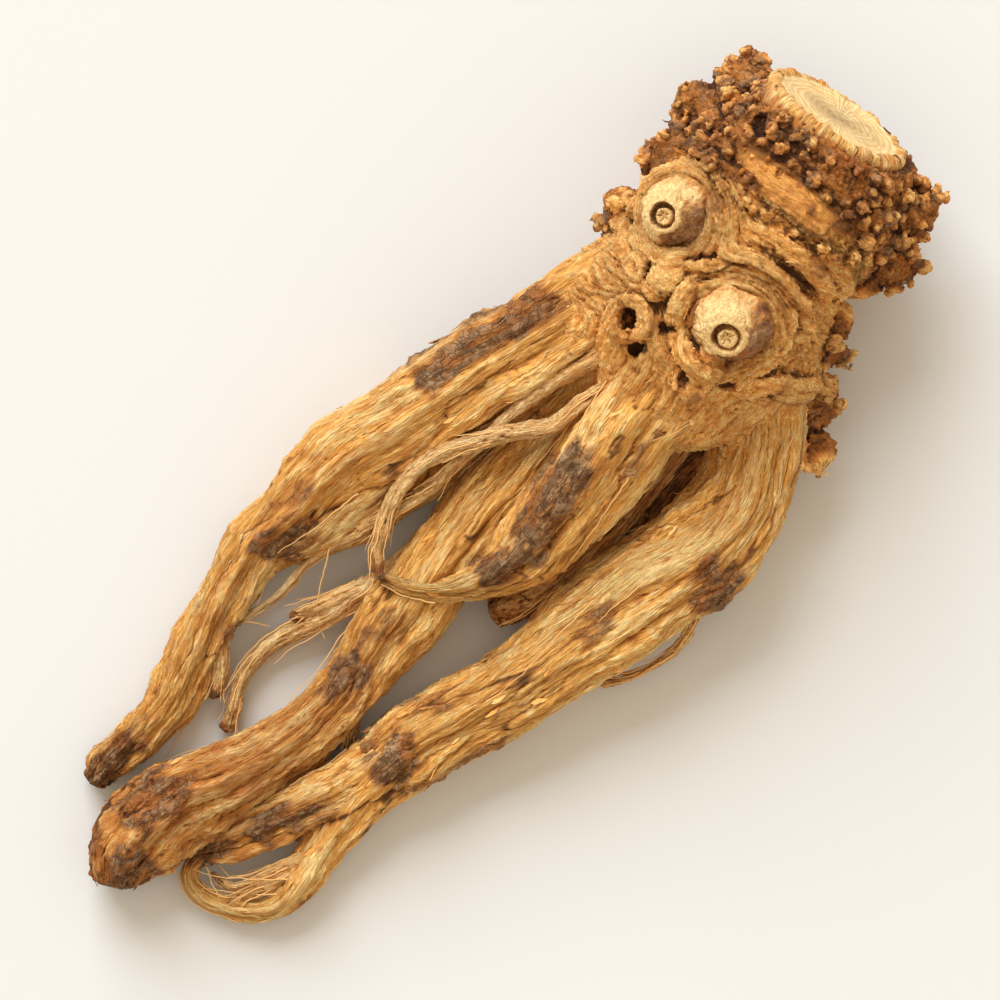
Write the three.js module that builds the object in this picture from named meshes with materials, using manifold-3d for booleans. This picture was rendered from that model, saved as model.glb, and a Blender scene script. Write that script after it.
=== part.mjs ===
// A dried angelica root, lying down: a knobbly crown with a cut stem stub, two cone-shaped scars,
// four stout roots that splay from the crown, and the thin rootlets and strands between them.
// The root grew as one piece, so the whole of it is one solid.
// Sizes are in millimetres, with +Z up. The shapes are laid out on a plan seen from above, in which
// the root runs up and to the right, and the last group turns the plan so that it lies along X.
import * as THREE from "three";
import { mergeVertices } from "three/addons/utils/BufferGeometryUtils.js";
import Module from "manifold-3d";

const wasm = await Module();
wasm.setup();

// Driving dimensions
const PLAN_TURN = THREE.MathUtils.degToRad(-43);
const PLAN_SHIFT = [1.2, 3.5];
const DISC_CENTRE = [42.3, 47.9, 19.8];
const DISC_RADIUS = 9.6;
const STEM_AXIS = new THREE.Vector3(0.54, 0.81, 0.23).normalize();
const STUB_LENGTH = 9;
const RIM_RIBS = 16;
const SEED = 20;

// Each path is a list of [right, up, height, radius] points, or [right, up, height, half width, half height].
const CROWN = [
  [21.4, 14.6, 10, 7.4, 7],
  [23.2, 17.6, 11.8, 12, 11.2],
  [25.6, 22.2, 12.9, 14.5, 13.3],
  [29, 29.2, 13.2, 14.1, 13.8],
  [32.6, 35.2, 14.4, 12.6, 13],
  [36, 40, 15.6, 11.2, 12],
  [38.6, 43.6, 17, 9.2, 9.4],
];
const COLLAR = [
  [36.9, 34.9, 15.2, 11],
  [38.3, 37.6, 15.6, 12],
  [39.6, 40.8, 16.6, 11.9],
  [40.8, 44.4, 17.8, 10.5],
  [41.5, 46.4, 18.8, 8.9],
];

// A smooth raised band across the neck, under the collar.
const NECK_BAND = [
  [29.4, 43.8, 18, 1.6],
  [31.2, 41.8, 23, 2],
  [35.4, 38.2, 26.4, 2.2],
  [40, 34.6, 25, 2.2],
  [43.6, 31, 19.4, 2],
  [44.4, 29.6, 15, 1.6],
];

const STOUT_ROOTS = {
  left_upper_fold: [
    [21.4, 29.2, 13.2, 7],
    [16.8, 27.9, 13.2, 6.1],
    [12.4, 25.6, 12.8, 5.5],
    [5.4, 21.4, 12, 5.3],
    [-2.7, 16.2, 10.4, 5.5],
    [-11, 10.4, 8, 6.1],
    [-19.4, 4.6, 6.2, 6.1],
    [-25.6, -1.3, 5, 5.1],
    [-31.1, -6.2, 4.2, 4],
    [-35.4, -13, 3.6, 3.5],
    [-38.8, -19.4, 3.4, 3.6],
    [-42.2, -25.6, 3.1, 3.2],
    [-46.3, -30.3, 2.7, 2.7],
    [-49.9, -33.6, 2.2, 1.8],
    [-51.8, -36.2, 1.7, 0.8],
  ],
  left_lower_fold: [
    [19.4, 26, 11, 4.6],
    [11.2, 20.2, 9, 4.5],
    [3.8, 15, 7.4, 4.5],
    [-4.4, 9.5, 6, 4.6],
    [-11.9, 4, 5, 4.6],
    [-19, -1.2, 4.4, 4.1],
    [-24.8, -5, 4.2, 3.1],
    [-29, -6.6, 4.2, 1.9],
  ],
  middle: [
    [22, 22.2, 9.8, 6.4],
    [18.2, 19, 9, 5.6],
    [13.4, 14.2, 7.8, 5.1],
    [7.3, 8, 6.6, 5],
    [0.6, 1, 5.8, 5.1],
    [-5.5, -6, 5.3, 5.2],
    [-11.2, -13.1, 5, 5.2],
    [-16.2, -19.2, 4.8, 4.6],
    [-20.8, -25.2, 4.5, 4],
    [-26.2, -30.2, 4.4, 4.2],
    [-32.8, -34.3, 4.6, 4.7],
    [-39.4, -37.4, 5, 5.5],
    [-44.6, -41.2, 5.2, 5.7],
    [-47.5, -45.4, 4.8, 5.1],
    [-47.9, -49, 4.4, 3.2],
  ],
  short_upper: [
    [27.6, 23.2, 15.4, 7],
    [24.6, 19.4, 15.8, 6.2],
    [21.6, 15.6, 15.8, 5.8],
    [16.6, 9.9, 15, 5.8],
    [11.8, 3.8, 13.6, 5.6],
    [6.9, -2.1, 12.2, 5.1],
    [2.5, -7, 11, 4.2],
    [-1.8, -9.9, 10.4, 2.8],
    [-6.9, -11.3, 10.2, 1.7],
    [-11.2, -11.1, 10, 1.2],
    [-15.2, -9.6, 9.4, 0.7],
  ],
  right: [
    [33, 24, 11.8, 8.4],
    [33.4, 18.8, 11.6, 6.8],
    [33.3, 12, 10.6, 5.9],
    [32.5, 5.6, 9.6, 5.6],
    [30.2, -0.8, 8.6, 6.2],
    [25.2, -6.6, 7.6, 6.8],
    [18, -11.6, 6.8, 6.7],
    [10.4, -17.2, 6.2, 6.2],
    [2.2, -23.3, 5.6, 5.6],
    [-5.4, -27.8, 5.2, 5.1],
    [-11.9, -31.4, 4.9, 4.9],
    [-16.6, -34.9, 4.6, 3.4],
  ],
  right_fork_pointed: [
    [-10, -30, 5, 3],
    [-14.4, -32.8, 4.8, 3.9],
    [-19.6, -36, 4.2, 3.6],
    [-25.4, -39, 3.8, 3.6],
    [-30.6, -41.6, 3.4, 3.1],
    [-34.8, -43.6, 3, 2.3],
    [-37.7, -44.8, 2.8, 1.2],
  ],
  right_fork_curled: [
    [-9.6, -30.4, 5, 3.2],
    [-12.6, -32.8, 5, 4.3],
    [-16.8, -36.8, 4.6, 3.6],
    [-20.4, -41.4, 4, 3],
    [-23.6, -46, 3.6, 2.5],
    [-26.2, -49.8, 3.2, 2],
    [-29, -51.8, 2.8, 1.6],
    [-33, -51.9, 2.6, 1.4],
    [-36.8, -50.6, 2.5, 1.3],
    [-39, -48.6, 2.5, 1.1],
    [-38.9, -46.2, 2.7, 1],
    [-37, -44.4, 2.9, 1],
  ],
};

const THIN_ROOTS = {
  under_gap: [
    [28.6, 17.4, 11, 3],
    [25.2, 11, 9.5, 2.2],
    [20.2, 4, 7, 1.8],
    [15.2, -2.4, 5.4, 1.8],
    [10.2, -7.4, 4.8, 2],
    [5.2, -11.2, 4.4, 2.4],
    [1, -13.4, 4.2, 2.4],
    [-1.4, -14.2, 4.2, 1.6],
  ],
  bowed: [
    [-6.9, -3.8, 5.2, 1.6],
    [-12.5, -8.2, 4.6, 1.8],
    [-17.4, -11.6, 4, 1.9],
    [-21.9, -14.6, 3.4, 1.7],
    [-26.2, -16.6, 3, 1.6],
    [-30.2, -19.2, 2.7, 1.4],
    [-32.8, -23, 2.4, 1.2],
    [-33.8, -26.6, 2.1, 1.1],
    [-34.8, -29.4, 1.9, 0.8],
  ],
  bowed_stub: [
    [-16.8, -10.6, 4.4, 1.3],
    [-22.9, -13.4, 4.2, 1.1],
    [-26.6, -14.9, 4, 0.6],
  ],
  left_peg: [
    [-36, -15, 3.8, 1.7],
    [-35.6, -21.2, 3, 1.4],
    [-36.4, -25.2, 2.4, 0.9],
  ],
  middle_peg: [
    [-18.5, -23.2, 4, 1.4],
    [-18.8, -28.4, 2.8, 1],
    [-19.6, -31.4, 2, 0.6],
  ],
  long_strand: [
    [18.4, 23.8, 16.5, 1.5],
    [12.5, 18.2, 15.6, 1.15],
    [7.5, 15.2, 14.4, 1.05],
    [3.1, 12.2, 13.2, 1],
    [-0.6, 8.8, 12.1, 0.95],
    [-5, 5.2, 11, 0.9],
    [-8.8, 1.6, 9.8, 0.85],
    [-13.1, -1.2, 8.6, 0.8],
    [-18.1, -4.2, 7.4, 0.75],
    [-23.8, -7.5, 5.8, 0.6],
    [-27.8, -11.9, 4.8, 0.5],
    [-33.8, -15.8, 4, 0.45],
  ],
  bent_strand: [
    [20.6, 19.6, 16.5, 1.3],
    [14, 14.6, 15.6, 1],
    [10, 11.9, 14.8, 1.05],
    [6.9, 9.5, 14.1, 1.1],
    [3.2, 8.8, 13.6, 1.1],
    [0, 8.2, 13.2, 1.1],
    [-3.8, 7.1, 12.8, 1.05],
    [-7.1, 6, 12.4, 1.1],
    [-9.6, 4.6, 11.8, 1],
    [-12, 2.4, 11, 1],
    [-13.8, -0.5, 10.2, 1.05],
    [-14.9, -4, 9.4, 1],
    [-15.5, -7, 9, 0.9],
    [-15.1, -10, 9, 0.7],
  ],
  side_strand: [
    [25.6, -12, 7.8, 0.9],
    [24.2, -15.4, 6, 0.8],
    [23, -17.9, 4.6, 0.7],
    [20.6, -20.2, 3.8, 0.55],
    [17, -22.2, 3.2, 0.5],
    [12.6, -23.4, 3.4, 0.5],
  ],
  crown_rootlet: [
    [29.6, 14.6, 18.4, 1.6],
    [25, 11.4, 19, 1.3],
    [22.2, 9.4, 18.6, 1.1],
    [18.6, 8.4, 19.4, 0.8],
  ],
  loop_fibres: [
    [-23.8, -45.8, 3.8, 1],
    [-28.8, -48.2, 3.4, 0.7],
    [-32.2, -49.4, 3, 0.6],
    [-34.6, -51, 2.7, 0.6],
  ],
};

// Lumps of bark on the crown, as [right, up, height, radius].
const LUMPS = [
  // the warty spur on the right of the collar
  [49.4, 36.2, 14.6, 4.2],
  [52.6, 36.6, 15, 2.2],
  [48.4, 31, 12.6, 4],
  [45.6, 28.4, 11.4, 3],
  // the broken side stem on the left of the collar
  [29.4, 46.6, 11.6, 5.6],
  [25.4, 48.6, 11, 3.6],
  [30.6, 51.2, 11.8, 3.6],
  [33.2, 50.4, 13, 3.2],
  [23.8, 50.6, 12, 1.7],
  [26.4, 46.4, 17, 1.7],
  [21.2, 43.6, 13, 2.8],
  [23.2, 41.2, 13.4, 4.6],
  // the left shoulder
  [15.6, 37, 12.4, 2.2],
  [17, 34.8, 13, 3.6],
  [19.6, 26.4, 17.4, 1.8],
  [21.4, 24.8, 18.4, 1.5],
  // the ragged bark of the right shoulder
  [41.6, 22.6, 11, 2.6],
  [40.8, 18.8, 10, 2.2],
  [38.2, 11.8, 8.8, 3.4],
  [39.6, 6.2, 8, 2.4],
  [36.4, 14.2, 14.6, 2],
  [33.4, 13.6, 16.4, 1.9],
  [30.4, 13, 17.2, 2.1],
];

const SPIKES = [
  { foot: [52, 36.4, 15], tip: [54.9, 36.9, 15.8], radius: 1.9 },
  { foot: [41.2, 22.6, 11], tip: [44, 22.6, 11.4], radius: 1.5 },
  { foot: [24.4, 49.8, 11], tip: [23.8, 51.8, 13.6], radius: 1.7 },
];

// Two cones and three short broken tubes, where side shoots and roots came off.
const CONES = [
  { foot: [22.7, 35.6, 21.6], tip: [20, 35, 28.4], radius: 5.2, tipRadius: 1.9 },
  { foot: [28.6, 22.6, 23.6], tip: [27.9, 19.8, 30.2], radius: 5.6, tipRadius: 2.1 },
];
const BROKEN_TUBES = [
  { foot: [17.6, 22.8, 13], tip: [16, 22.2, 18.4], radius: 2.9, tipRadius: 2.4 },
  { foot: [36.6, 13.6, 10], tip: [41.8, 13.4, 11.2], radius: 2.6, tipRadius: 2.1 },
  { foot: [36, 8, 8], tip: [41, 4.8, 8.4], radius: 2.3, tipRadius: 1.8 },
];

// Rings of warts round the collar: share of the way along it, number, size.
const WART_RINGS = [
  { along: 0.24, count: 16, size: 1.7 },
  { along: 0.5, count: 16, size: 1.7 },
  { along: 0.74, count: 16, size: 1.6 },
];

let state = SEED;
function random() {
  state = (state * 16807) % 2147483647;
  return state / 2147483647;
}

function toSolid(geometry) {
  const bare = geometry.clone();
  bare.deleteAttribute("normal");
  bare.deleteAttribute("uv");
  const merged = mergeVertices(bare, 1e-4);
  const mesh = new wasm.Mesh({
    numProp: 3,
    vertProperties: merged.attributes.position.array,
    triVerts: new Uint32Array(merged.index.array),
  });
  return new wasm.Manifold(mesh);
}

function toGeometry(solid) {
  const mesh = solid.getMesh();
  const geometry = new THREE.BufferGeometry();
  geometry.setAttribute("position", new THREE.BufferAttribute(mesh.vertProperties, 3));
  geometry.setIndex(new THREE.BufferAttribute(mesh.triVerts, 1));
  geometry.computeVertexNormals();
  return geometry;
}

// How far the skin stands out at an angle round the root from the top and at a distance along it:
// broad folds, knots, and narrow ridges on every second side that come and go.
function folds(sides, depth, phase, along, angle) {
  const broad = 0.55 * Math.cos(3 * angle + 2 * phase + 0.05 * along);
  const knots = 0.5 * Math.cos(0.32 * along + phase) * Math.cos(2 * angle + 3 * phase + 0.11 * along);
  const fade = 0.65 + 0.35 * Math.sin(0.13 * along + 3 * angle + phase);
  const ridges = 0.75 * fade * Math.cos((sides / 2) * angle);
  return 1 + depth * (broad + knots + ridges);
}

// A smooth path through the points, with the size of the root at each share t of the way.
function follow(path) {
  const through = (points) => new THREE.CatmullRomCurve3(points, false, "catmullrom", 0.5);
  const centre = through(path.map(([x, y, z]) => new THREE.Vector3(x, y, z)));
  const size = through(path.map(([, , , w, h = w]) => new THREE.Vector3(w, h, 0)));
  const up = new THREE.Vector3(0, 0, 1);
  const skin = (t, angle, out) => {
    const tangent = centre.getTangent(t);
    const side = new THREE.Vector3().crossVectors(tangent, up).normalize();
    const top = new THREE.Vector3().crossVectors(side, tangent);
    const { x: width, y: height } = size.getPoint(t);
    return centre
      .getPoint(t)
      .addScaledVector(side, width * out * Math.sin(angle))
      .addScaledVector(top, height * out * Math.cos(angle));
  };
  return { length: centre.getLength(), skin };
}

// A root swept along a path, from a cylinder whose rings follow the path.
function sweep(path, { sides, spacing, depth = 0, phase = 0 }) {
  const { length, skin } = follow(path);
  const geometry = new THREE.CylinderGeometry(1, 1, 1, sides, Math.ceil(length / spacing));
  const position = geometry.attributes.position;
  for (let i = 0; i < position.count; i++) {
    const x = position.getX(i);
    const z = position.getZ(i);
    const t = THREE.MathUtils.clamp(position.getY(i) + 0.5, 0, 1);
    const angle = Math.atan2(x, z);
    const out = Math.hypot(x, z) * folds(sides, depth, phase, t * length, angle);
    position.setXYZ(i, ...skin(t, angle, out));
  }
  return toSolid(geometry);
}

function lump([x, y, z, radius], detail = 1) {
  const geometry = new THREE.IcosahedronGeometry(radius, detail);
  geometry.rotateX(random() * Math.PI);
  geometry.rotateZ(random() * Math.PI);
  geometry.translate(x, y, z);
  return toSolid(geometry);
}

// A turned shape whose own Y axis is laid from the foot towards the tip. The last argument says how
// far to move each point out from the axis.
function turned(profile, segments, foot, direction, swell = () => 1) {
  const points = profile.map(([radius, along]) => new THREE.Vector2(radius, along));
  const geometry = new THREE.LatheGeometry(points, segments);
  const position = geometry.attributes.position;
  for (let i = 0; i < position.count; i++) {
    const [x, y, z] = [position.getX(i), position.getY(i), position.getZ(i)];
    const out = swell(x, y, z);
    position.setXYZ(i, x * out, y, z * out);
  }
  const turn = new THREE.Quaternion().setFromUnitVectors(new THREE.Vector3(0, 1, 0), direction);
  geometry.applyQuaternion(turn);
  geometry.translate(...foot);
  return toSolid(geometry);
}

function spike({ foot, tip, radius }) {
  const from = new THREE.Vector3(...foot);
  const along = new THREE.Vector3(...tip).sub(from);
  const length = along.length();
  const profile = [[0, -radius], [radius, 0], [radius * 0.5, length * 0.8], [0, length]];
  return turned(profile, 8, foot, along.normalize());
}

// A cone with a raised foot ring, and a small round scar in its blunt tip.
function cone({ foot, tip, radius, tipRadius }) {
  const from = new THREE.Vector3(...foot);
  const along = new THREE.Vector3(...tip).sub(from);
  const length = along.length();
  const profile = [
    [0, -radius * 0.6],
    [radius * 1.16, -0.5],
    [radius * 1.14, length * 0.2],
    [radius, length * 0.26],
    [radius * 0.86, length * 0.6],
    [tipRadius * 1.25, length * 0.94],
    [tipRadius, length],
    [tipRadius * 0.72, length * 0.98],
    [tipRadius * 0.62, length * 0.9],
    [tipRadius * 0.5, length * 0.97],
    [0, length * 0.96],
  ];
  return turned(profile, 18, foot, along.normalize());
}

// A short broken tube: a ring wall round a hollow.
function brokenTube({ foot, tip, radius, tipRadius }) {
  const from = new THREE.Vector3(...foot);
  const along = new THREE.Vector3(...tip).sub(from);
  const length = along.length();
  const profile = [
    [0, -radius * 0.5],
    [radius, 0],
    [radius, length * 0.7],
    [tipRadius, length],
    [tipRadius * 0.62, length * 0.98],
    [tipRadius * 0.5, length * 0.72],
    [0, length * 0.7],
  ];
  return turned(profile, 12, foot, along.normalize());
}

// The cut stem: a stub with an upright-ribbed rim and low growth rings on its face.
function stemStub() {
  const profile = [
    [0, -STUB_LENGTH],
    [DISC_RADIUS * 0.9, -STUB_LENGTH],
    [DISC_RADIUS * 0.96, -2.6],
    [DISC_RADIUS * 1.02, -1.8],
    [DISC_RADIUS, -0.3],
    [DISC_RADIUS * 0.92, 0],
    [DISC_RADIUS * 0.64, -0.4],
    [DISC_RADIUS * 0.56, 0],
    [DISC_RADIUS * 0.3, -0.2],
    [0, -0.4],
  ];
  return turned(profile, 2 * RIM_RIBS, DISC_CENTRE, STEM_AXIS, (x, y, z) => {
    const onRim = Math.hypot(x, z) > DISC_RADIUS * 0.95;
    return onRim ? 1 + 0.03 * Math.cos(RIM_RIBS * Math.atan2(x, z)) : 1;
  });
}

function warts() {
  const { skin } = follow(COLLAR);
  return WART_RINGS.flatMap(({ along, count, size }) =>
    Array.from({ length: count }, (_, i) => {
      const angle = ((i + 0.6 * random()) / count) * 2 * Math.PI;
      const point = skin(along + 0.08 * random(), angle, 0.98);
      return lump([...point, size * (0.8 + 0.4 * random())], 0);
    }),
  );
}

const pieces = [
  sweep(CROWN, { sides: 22, spacing: 3.2, depth: 0.05, phase: 0.6 }),
  sweep(COLLAR, { sides: 20, spacing: 3 }),
  sweep(NECK_BAND, { sides: 8, spacing: 4 }),
  stemStub(),
  ...LUMPS.map((values) => lump(values)),
  ...SPIKES.map(spike),
  ...CONES.map(cone),
  ...BROKEN_TUBES.map(brokenTube),
  ...warts(),
];
Object.values(STOUT_ROOTS).forEach((path, i) => {
  pieces.push(sweep(path, { sides: 14, spacing: 4.2, depth: 0.13, phase: 1 + 1.3 * i }));
});
Object.values(THIN_ROOTS).forEach((path, i) => {
  pieces.push(sweep(path, { sides: 6, spacing: 5, depth: 0.05, phase: i }));
});

// Join everything, and cut it level where it lies on the table.
const joined = wasm.Manifold.union(pieces);
const below = new THREE.BoxGeometry(400, 400, 40);
below.translate(0, 0, -20);
const level = joined.subtract(toSolid(below));
const bodies = level.decompose();
if (bodies.length !== 1) throw new Error(`the root came out as ${bodies.length} bodies`);
const whole = bodies[0];

const bark = new THREE.MeshStandardMaterial({ color: 0xb98a4c, roughness: 0.85, metalness: 0 });
const root = new THREE.Mesh(toGeometry(whole), bark);
root.name = "angelica_root";

const plan = new THREE.Group();
plan.rotation.z = PLAN_TURN;
plan.add(root);

const part = new THREE.Group();
part.position.set(PLAN_SHIFT[0], PLAN_SHIFT[1], 0);
part.add(plan);

export default part;
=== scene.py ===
import copy
import math

import bpy
import numpy as np
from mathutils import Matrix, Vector


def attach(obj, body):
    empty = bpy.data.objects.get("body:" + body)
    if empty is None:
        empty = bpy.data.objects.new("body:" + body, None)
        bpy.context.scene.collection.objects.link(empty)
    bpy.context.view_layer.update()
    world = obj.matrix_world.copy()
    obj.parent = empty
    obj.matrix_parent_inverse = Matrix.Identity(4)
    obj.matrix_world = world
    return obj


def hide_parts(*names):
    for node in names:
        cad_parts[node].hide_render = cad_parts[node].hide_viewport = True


bl_info = {
    "name": "Dried Angelica Root",
    "version": (1, 0, 0),
    "blender": (4, 5, 0),
    "location": "3D View > Sidebar > Angelica Root",
    "description": "Dresses a dried angelica root: crown, cut stem, wrinkled roots, rootlets and loose bark",
    "category": "Add Mesh",
}

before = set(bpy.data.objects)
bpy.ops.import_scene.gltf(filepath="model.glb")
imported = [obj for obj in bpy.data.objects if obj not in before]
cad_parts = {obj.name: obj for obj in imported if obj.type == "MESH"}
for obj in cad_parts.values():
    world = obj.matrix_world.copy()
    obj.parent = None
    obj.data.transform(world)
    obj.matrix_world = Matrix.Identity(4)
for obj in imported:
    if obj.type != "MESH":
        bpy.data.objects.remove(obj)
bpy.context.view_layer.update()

NODE = "angelica_root"
BODY = "root"
BARK_SLOT = "root_bark"
CUT_SLOT = "cut_face"

# The shapes are laid out on a plan in millimetres, as the CAD does: right, up, and height over the table.
PLAN_TURN = math.radians(-43)
PLAN_SHIFT = (1.2, 3.5)
DISC_CENTRE = np.array([42.3, 47.9, 19.8])
DISC_RADIUS = 9.6
STEM_AXIS = np.array([0.54, 0.81, 0.33]) / math.hypot(0.54, 0.81, 0.33)
TABLE_HEIGHT = 0.0

# Lists of [right, up, height, radius], or [right, up, height, half width, half height].
CROWN = [
    [21.4, 14.6, 10, 7.4, 7], [23.2, 17.6, 11.8, 12, 11.2], [25.6, 22.2, 12.9, 14.5, 13.3],
    [29, 29.2, 13.2, 14.1, 13.8], [32.6, 35.2, 14.4, 12.6, 13], [36, 40, 15.6, 11.2, 12],
    [38.6, 43.6, 17, 9.2, 9.4],
]
COLLAR = [
    [36.9, 34.9, 15.2, 11], [38.3, 37.6, 15.6, 12], [39.6, 40.8, 16.6, 11.9], [40.8, 44.4, 17.8, 10.5],
    [41.5, 46.4, 18.8, 8.9],
]
NECK_BAND = [
    [29.4, 43.8, 18.4, 1.6], [31.2, 41.8, 23.6, 1.8], [35.4, 38.2, 26.8, 2.1], [40, 34.6, 25.6, 2.4],
    [43.6, 31, 19.8, 2.2], [44.4, 29.6, 15, 1.6],
]
STOUT_ROOTS = {
    "left_upper_fold": [
        [21.4, 29.2, 13.2, 7], [16.8, 27.9, 13.2, 6.1], [12.4, 25.6, 12.8, 5.5], [5.4, 21.4, 12, 5.3],
        [-2.7, 16.2, 10.4, 5.5], [-11, 10.4, 8, 6.1], [-19.4, 4.6, 6.2, 6.1], [-25.6, -1.3, 5, 5.1],
        [-31.1, -6.2, 4.2, 4], [-35.4, -13, 3.6, 3.5], [-38.8, -19.4, 3.4, 3.6], [-42.2, -25.6, 3.1, 3.2],
        [-46.3, -30.3, 2.7, 2.7], [-49.7, -33.4, 2.4, 2.3], [-51.6, -36, 2, 1.4],
    ],
    "left_lower_fold": [
        [19.4, 26, 11, 4.6], [11.2, 20.2, 9, 4.5], [3.8, 15, 7.4, 4.5], [-4.4, 9.5, 6, 4.6], [-11.9, 4, 5, 4.6],
        [-19, -1.2, 4.4, 4.1], [-24.8, -5, 4.2, 3.1], [-29, -6.6, 4.2, 1.9],
    ],
    "middle": [
        [22, 22.2, 9.8, 6.4], [18.2, 19, 9, 5.6], [13.4, 14.2, 7.8, 5.1], [7.3, 8, 6.6, 5], [0.6, 1, 5.8, 5.1],
        [-5.5, -6, 5.3, 5.2], [-11.2, -13.1, 5, 5.2], [-16.2, -19.2, 4.8, 4.6], [-20.8, -25.2, 4.5, 4],
        [-26.2, -30.2, 4.4, 4.2], [-32.8, -34.3, 4.6, 4.7], [-39.4, -37.4, 5, 5.5], [-44.6, -41.2, 5.2, 5.7],
        [-47.5, -45.4, 4.8, 5.1], [-47.9, -49, 4.4, 3.2],
    ],
    "short_upper": [
        [27.6, 23.2, 15.4, 7], [24.6, 19.4, 15.8, 6.2], [21.6, 15.6, 15.8, 5.8], [16.6, 9.9, 15, 5.8],
        [11.8, 3.8, 13.6, 5.6], [6.9, -2.1, 12.2, 5.1], [2.5, -7, 11, 4.2], [-1.8, -9.9, 10.4, 2.8],
        [-6.9, -11.3, 10.2, 1.7], [-11.2, -11.1, 10, 1.2], [-15.2, -9.6, 9.4, 0.7],
    ],
    "right": [
        [33, 24, 11.8, 8.4], [33.4, 18.8, 11.6, 6.8], [33.3, 12, 10.6, 5.9], [32.5, 5.6, 9.6, 5.6],
        [30.2, -0.8, 8.6, 6.2], [25.2, -6.6, 7.6, 6.8], [18, -11.6, 6.8, 6.7], [10.4, -17.2, 6.2, 6.2],
        [2.2, -23.3, 5.6, 5.6], [-5.4, -27.8, 5.2, 5.1], [-11.9, -31.4, 4.9, 4.9], [-16.6, -34.9, 4.6, 3.4],
    ],
    "right_fork_pointed": [
        [-10, -30, 5, 3], [-14.4, -32.8, 4.8, 3.9], [-19.6, -36, 4.2, 3.6], [-25.4, -39, 3.8, 3.6],
        [-30.6, -41.6, 3.4, 3.1], [-34.8, -43.6, 3, 2.3], [-37.7, -44.8, 2.8, 1.2],
    ],
    "right_fork_curled": [
        [-9.6, -30.4, 5, 3.2], [-12.6, -32.8, 5, 4.3], [-16.8, -36.8, 4.6, 3.6], [-20.4, -41.4, 4, 3],
        [-23.6, -46, 3.6, 2.5], [-26.2, -49.8, 3.2, 2], [-29, -51.8, 2.8, 1.6], [-33, -51.9, 2.6, 1.4],
        [-36.8, -50.6, 2.5, 1.3], [-39, -48.6, 2.5, 1.1], [-38.9, -46.2, 2.7, 1], [-37, -44.4, 2.9, 1],
    ],
}
THIN_ROOTS = {
    "under_gap": [
        [28.6, 17.4, 11, 3], [25.2, 11, 9.5, 2.2], [20.2, 4, 7, 1.8], [15.2, -2.4, 5.4, 1.8],
        [10.2, -7.4, 4.8, 2], [5.2, -11.2, 4.4, 2.4], [1, -13.4, 4.2, 2.4], [-1.4, -14.2, 4.2, 1.6],
    ],
    "deep_in_gap": [
        [30, 14, 6.4, 3.6], [26.6, 8, 5.2, 3.4], [22.6, 2.4, 4.2, 3], [18, -3, 3.4, 2.6],
        [12.6, -8.6, 2.8, 2.2], [7.6, -12.4, 2.4, 1.4],
    ],
    "bowed": [
        [-6.9, -3.8, 5.2, 1.6], [-12.5, -8.2, 4.6, 1.6], [-17.4, -11.6, 4, 1.6], [-21.9, -14.6, 3.4, 1.45],
        [-26.2, -16.6, 3, 1.4], [-30.2, -19.2, 2.7, 1.15], [-32.8, -23, 2.4, 1], [-33.8, -26.6, 2.1, 0.95],
        [-34.8, -29.4, 1.9, 0.8],
    ],
    "bowed_stub": [
        [-16.8, -10.6, 4.4, 1.3], [-22.9, -13.4, 4.2, 1.1], [-26.6, -14.9, 4, 0.6],
    ],
    "left_peg": [
        [-36, -15, 3.8, 1.7], [-35.6, -21.2, 3, 1.4], [-36.4, -25.2, 2.4, 0.9],
    ],
    "middle_peg": [
        [-18.5, -23.2, 4, 1.4], [-18.8, -28.4, 2.8, 1], [-19.6, -31.4, 2, 0.6],
    ],
    "long_strand": [
        [18.4, 23.8, 16.5, 1.5], [12.5, 18.2, 15.6, 1.15], [7.5, 15.2, 14.4, 1.05], [3.1, 12.2, 13.2, 1],
        [-0.6, 8.8, 12.1, 0.95], [-5, 5.2, 11, 0.9], [-8.8, 1.6, 9.8, 0.85], [-13.1, -1.2, 8.6, 0.8],
        [-18.1, -4.2, 7.4, 0.75], [-23.8, -7.5, 5.8, 0.6], [-27.8, -11.9, 4.8, 0.5], [-33.8, -15.8, 4, 0.45],
    ],
    "bent_strand": [
        [20.6, 19.6, 16.5, 1.3], [14, 14.6, 15.6, 1], [10, 11.9, 14.8, 1.05], [6.9, 9.5, 14.1, 1.1],
        [3.2, 8.8, 13.6, 1.1], [0, 8.2, 13.2, 1.1], [-3.8, 7.1, 12.8, 1.05], [-7.1, 6, 12.4, 1.1],
        [-9.6, 4.6, 11.8, 1], [-12, 2.4, 11, 1], [-13.8, -0.5, 10.2, 1.05], [-14.9, -4, 9.4, 1],
        [-15.5, -7, 9, 0.9], [-15.1, -10, 9, 0.7],
    ],
    "side_strand": [
        [25.6, -12, 7.8, 0.9], [24.2, -15.4, 6, 0.8], [23, -17.9, 4.6, 0.7], [20.6, -20.2, 3.8, 0.55],
        [17, -22.2, 3.2, 0.5], [12.6, -23.4, 3.4, 0.5],
    ],
    "crown_rootlet": [
        [29.6, 14.6, 18.4, 1.6], [25, 11.4, 19, 1.3], [22.2, 9.4, 18.6, 1.1], [18.6, 8.4, 19.4, 0.8],
    ],
    "loop_inner": [
        [-23.2, -44.6, 3.8, 0.8], [-27.4, -46.4, 3.8, 0.9], [-31.2, -48.2, 3.2, 0.8], [-34.2, -48.8, 2.8, 0.7],
        [-36.6, -47.2, 2.6, 0.4],
    ],
    "loop_fibres": [
        [-23.8, -45.8, 3.8, 1], [-28.8, -48.4, 3.4, 0.9], [-32.2, -49.8, 3, 0.8], [-34.6, -51, 2.7, 0.6],
    ],
}
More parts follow.
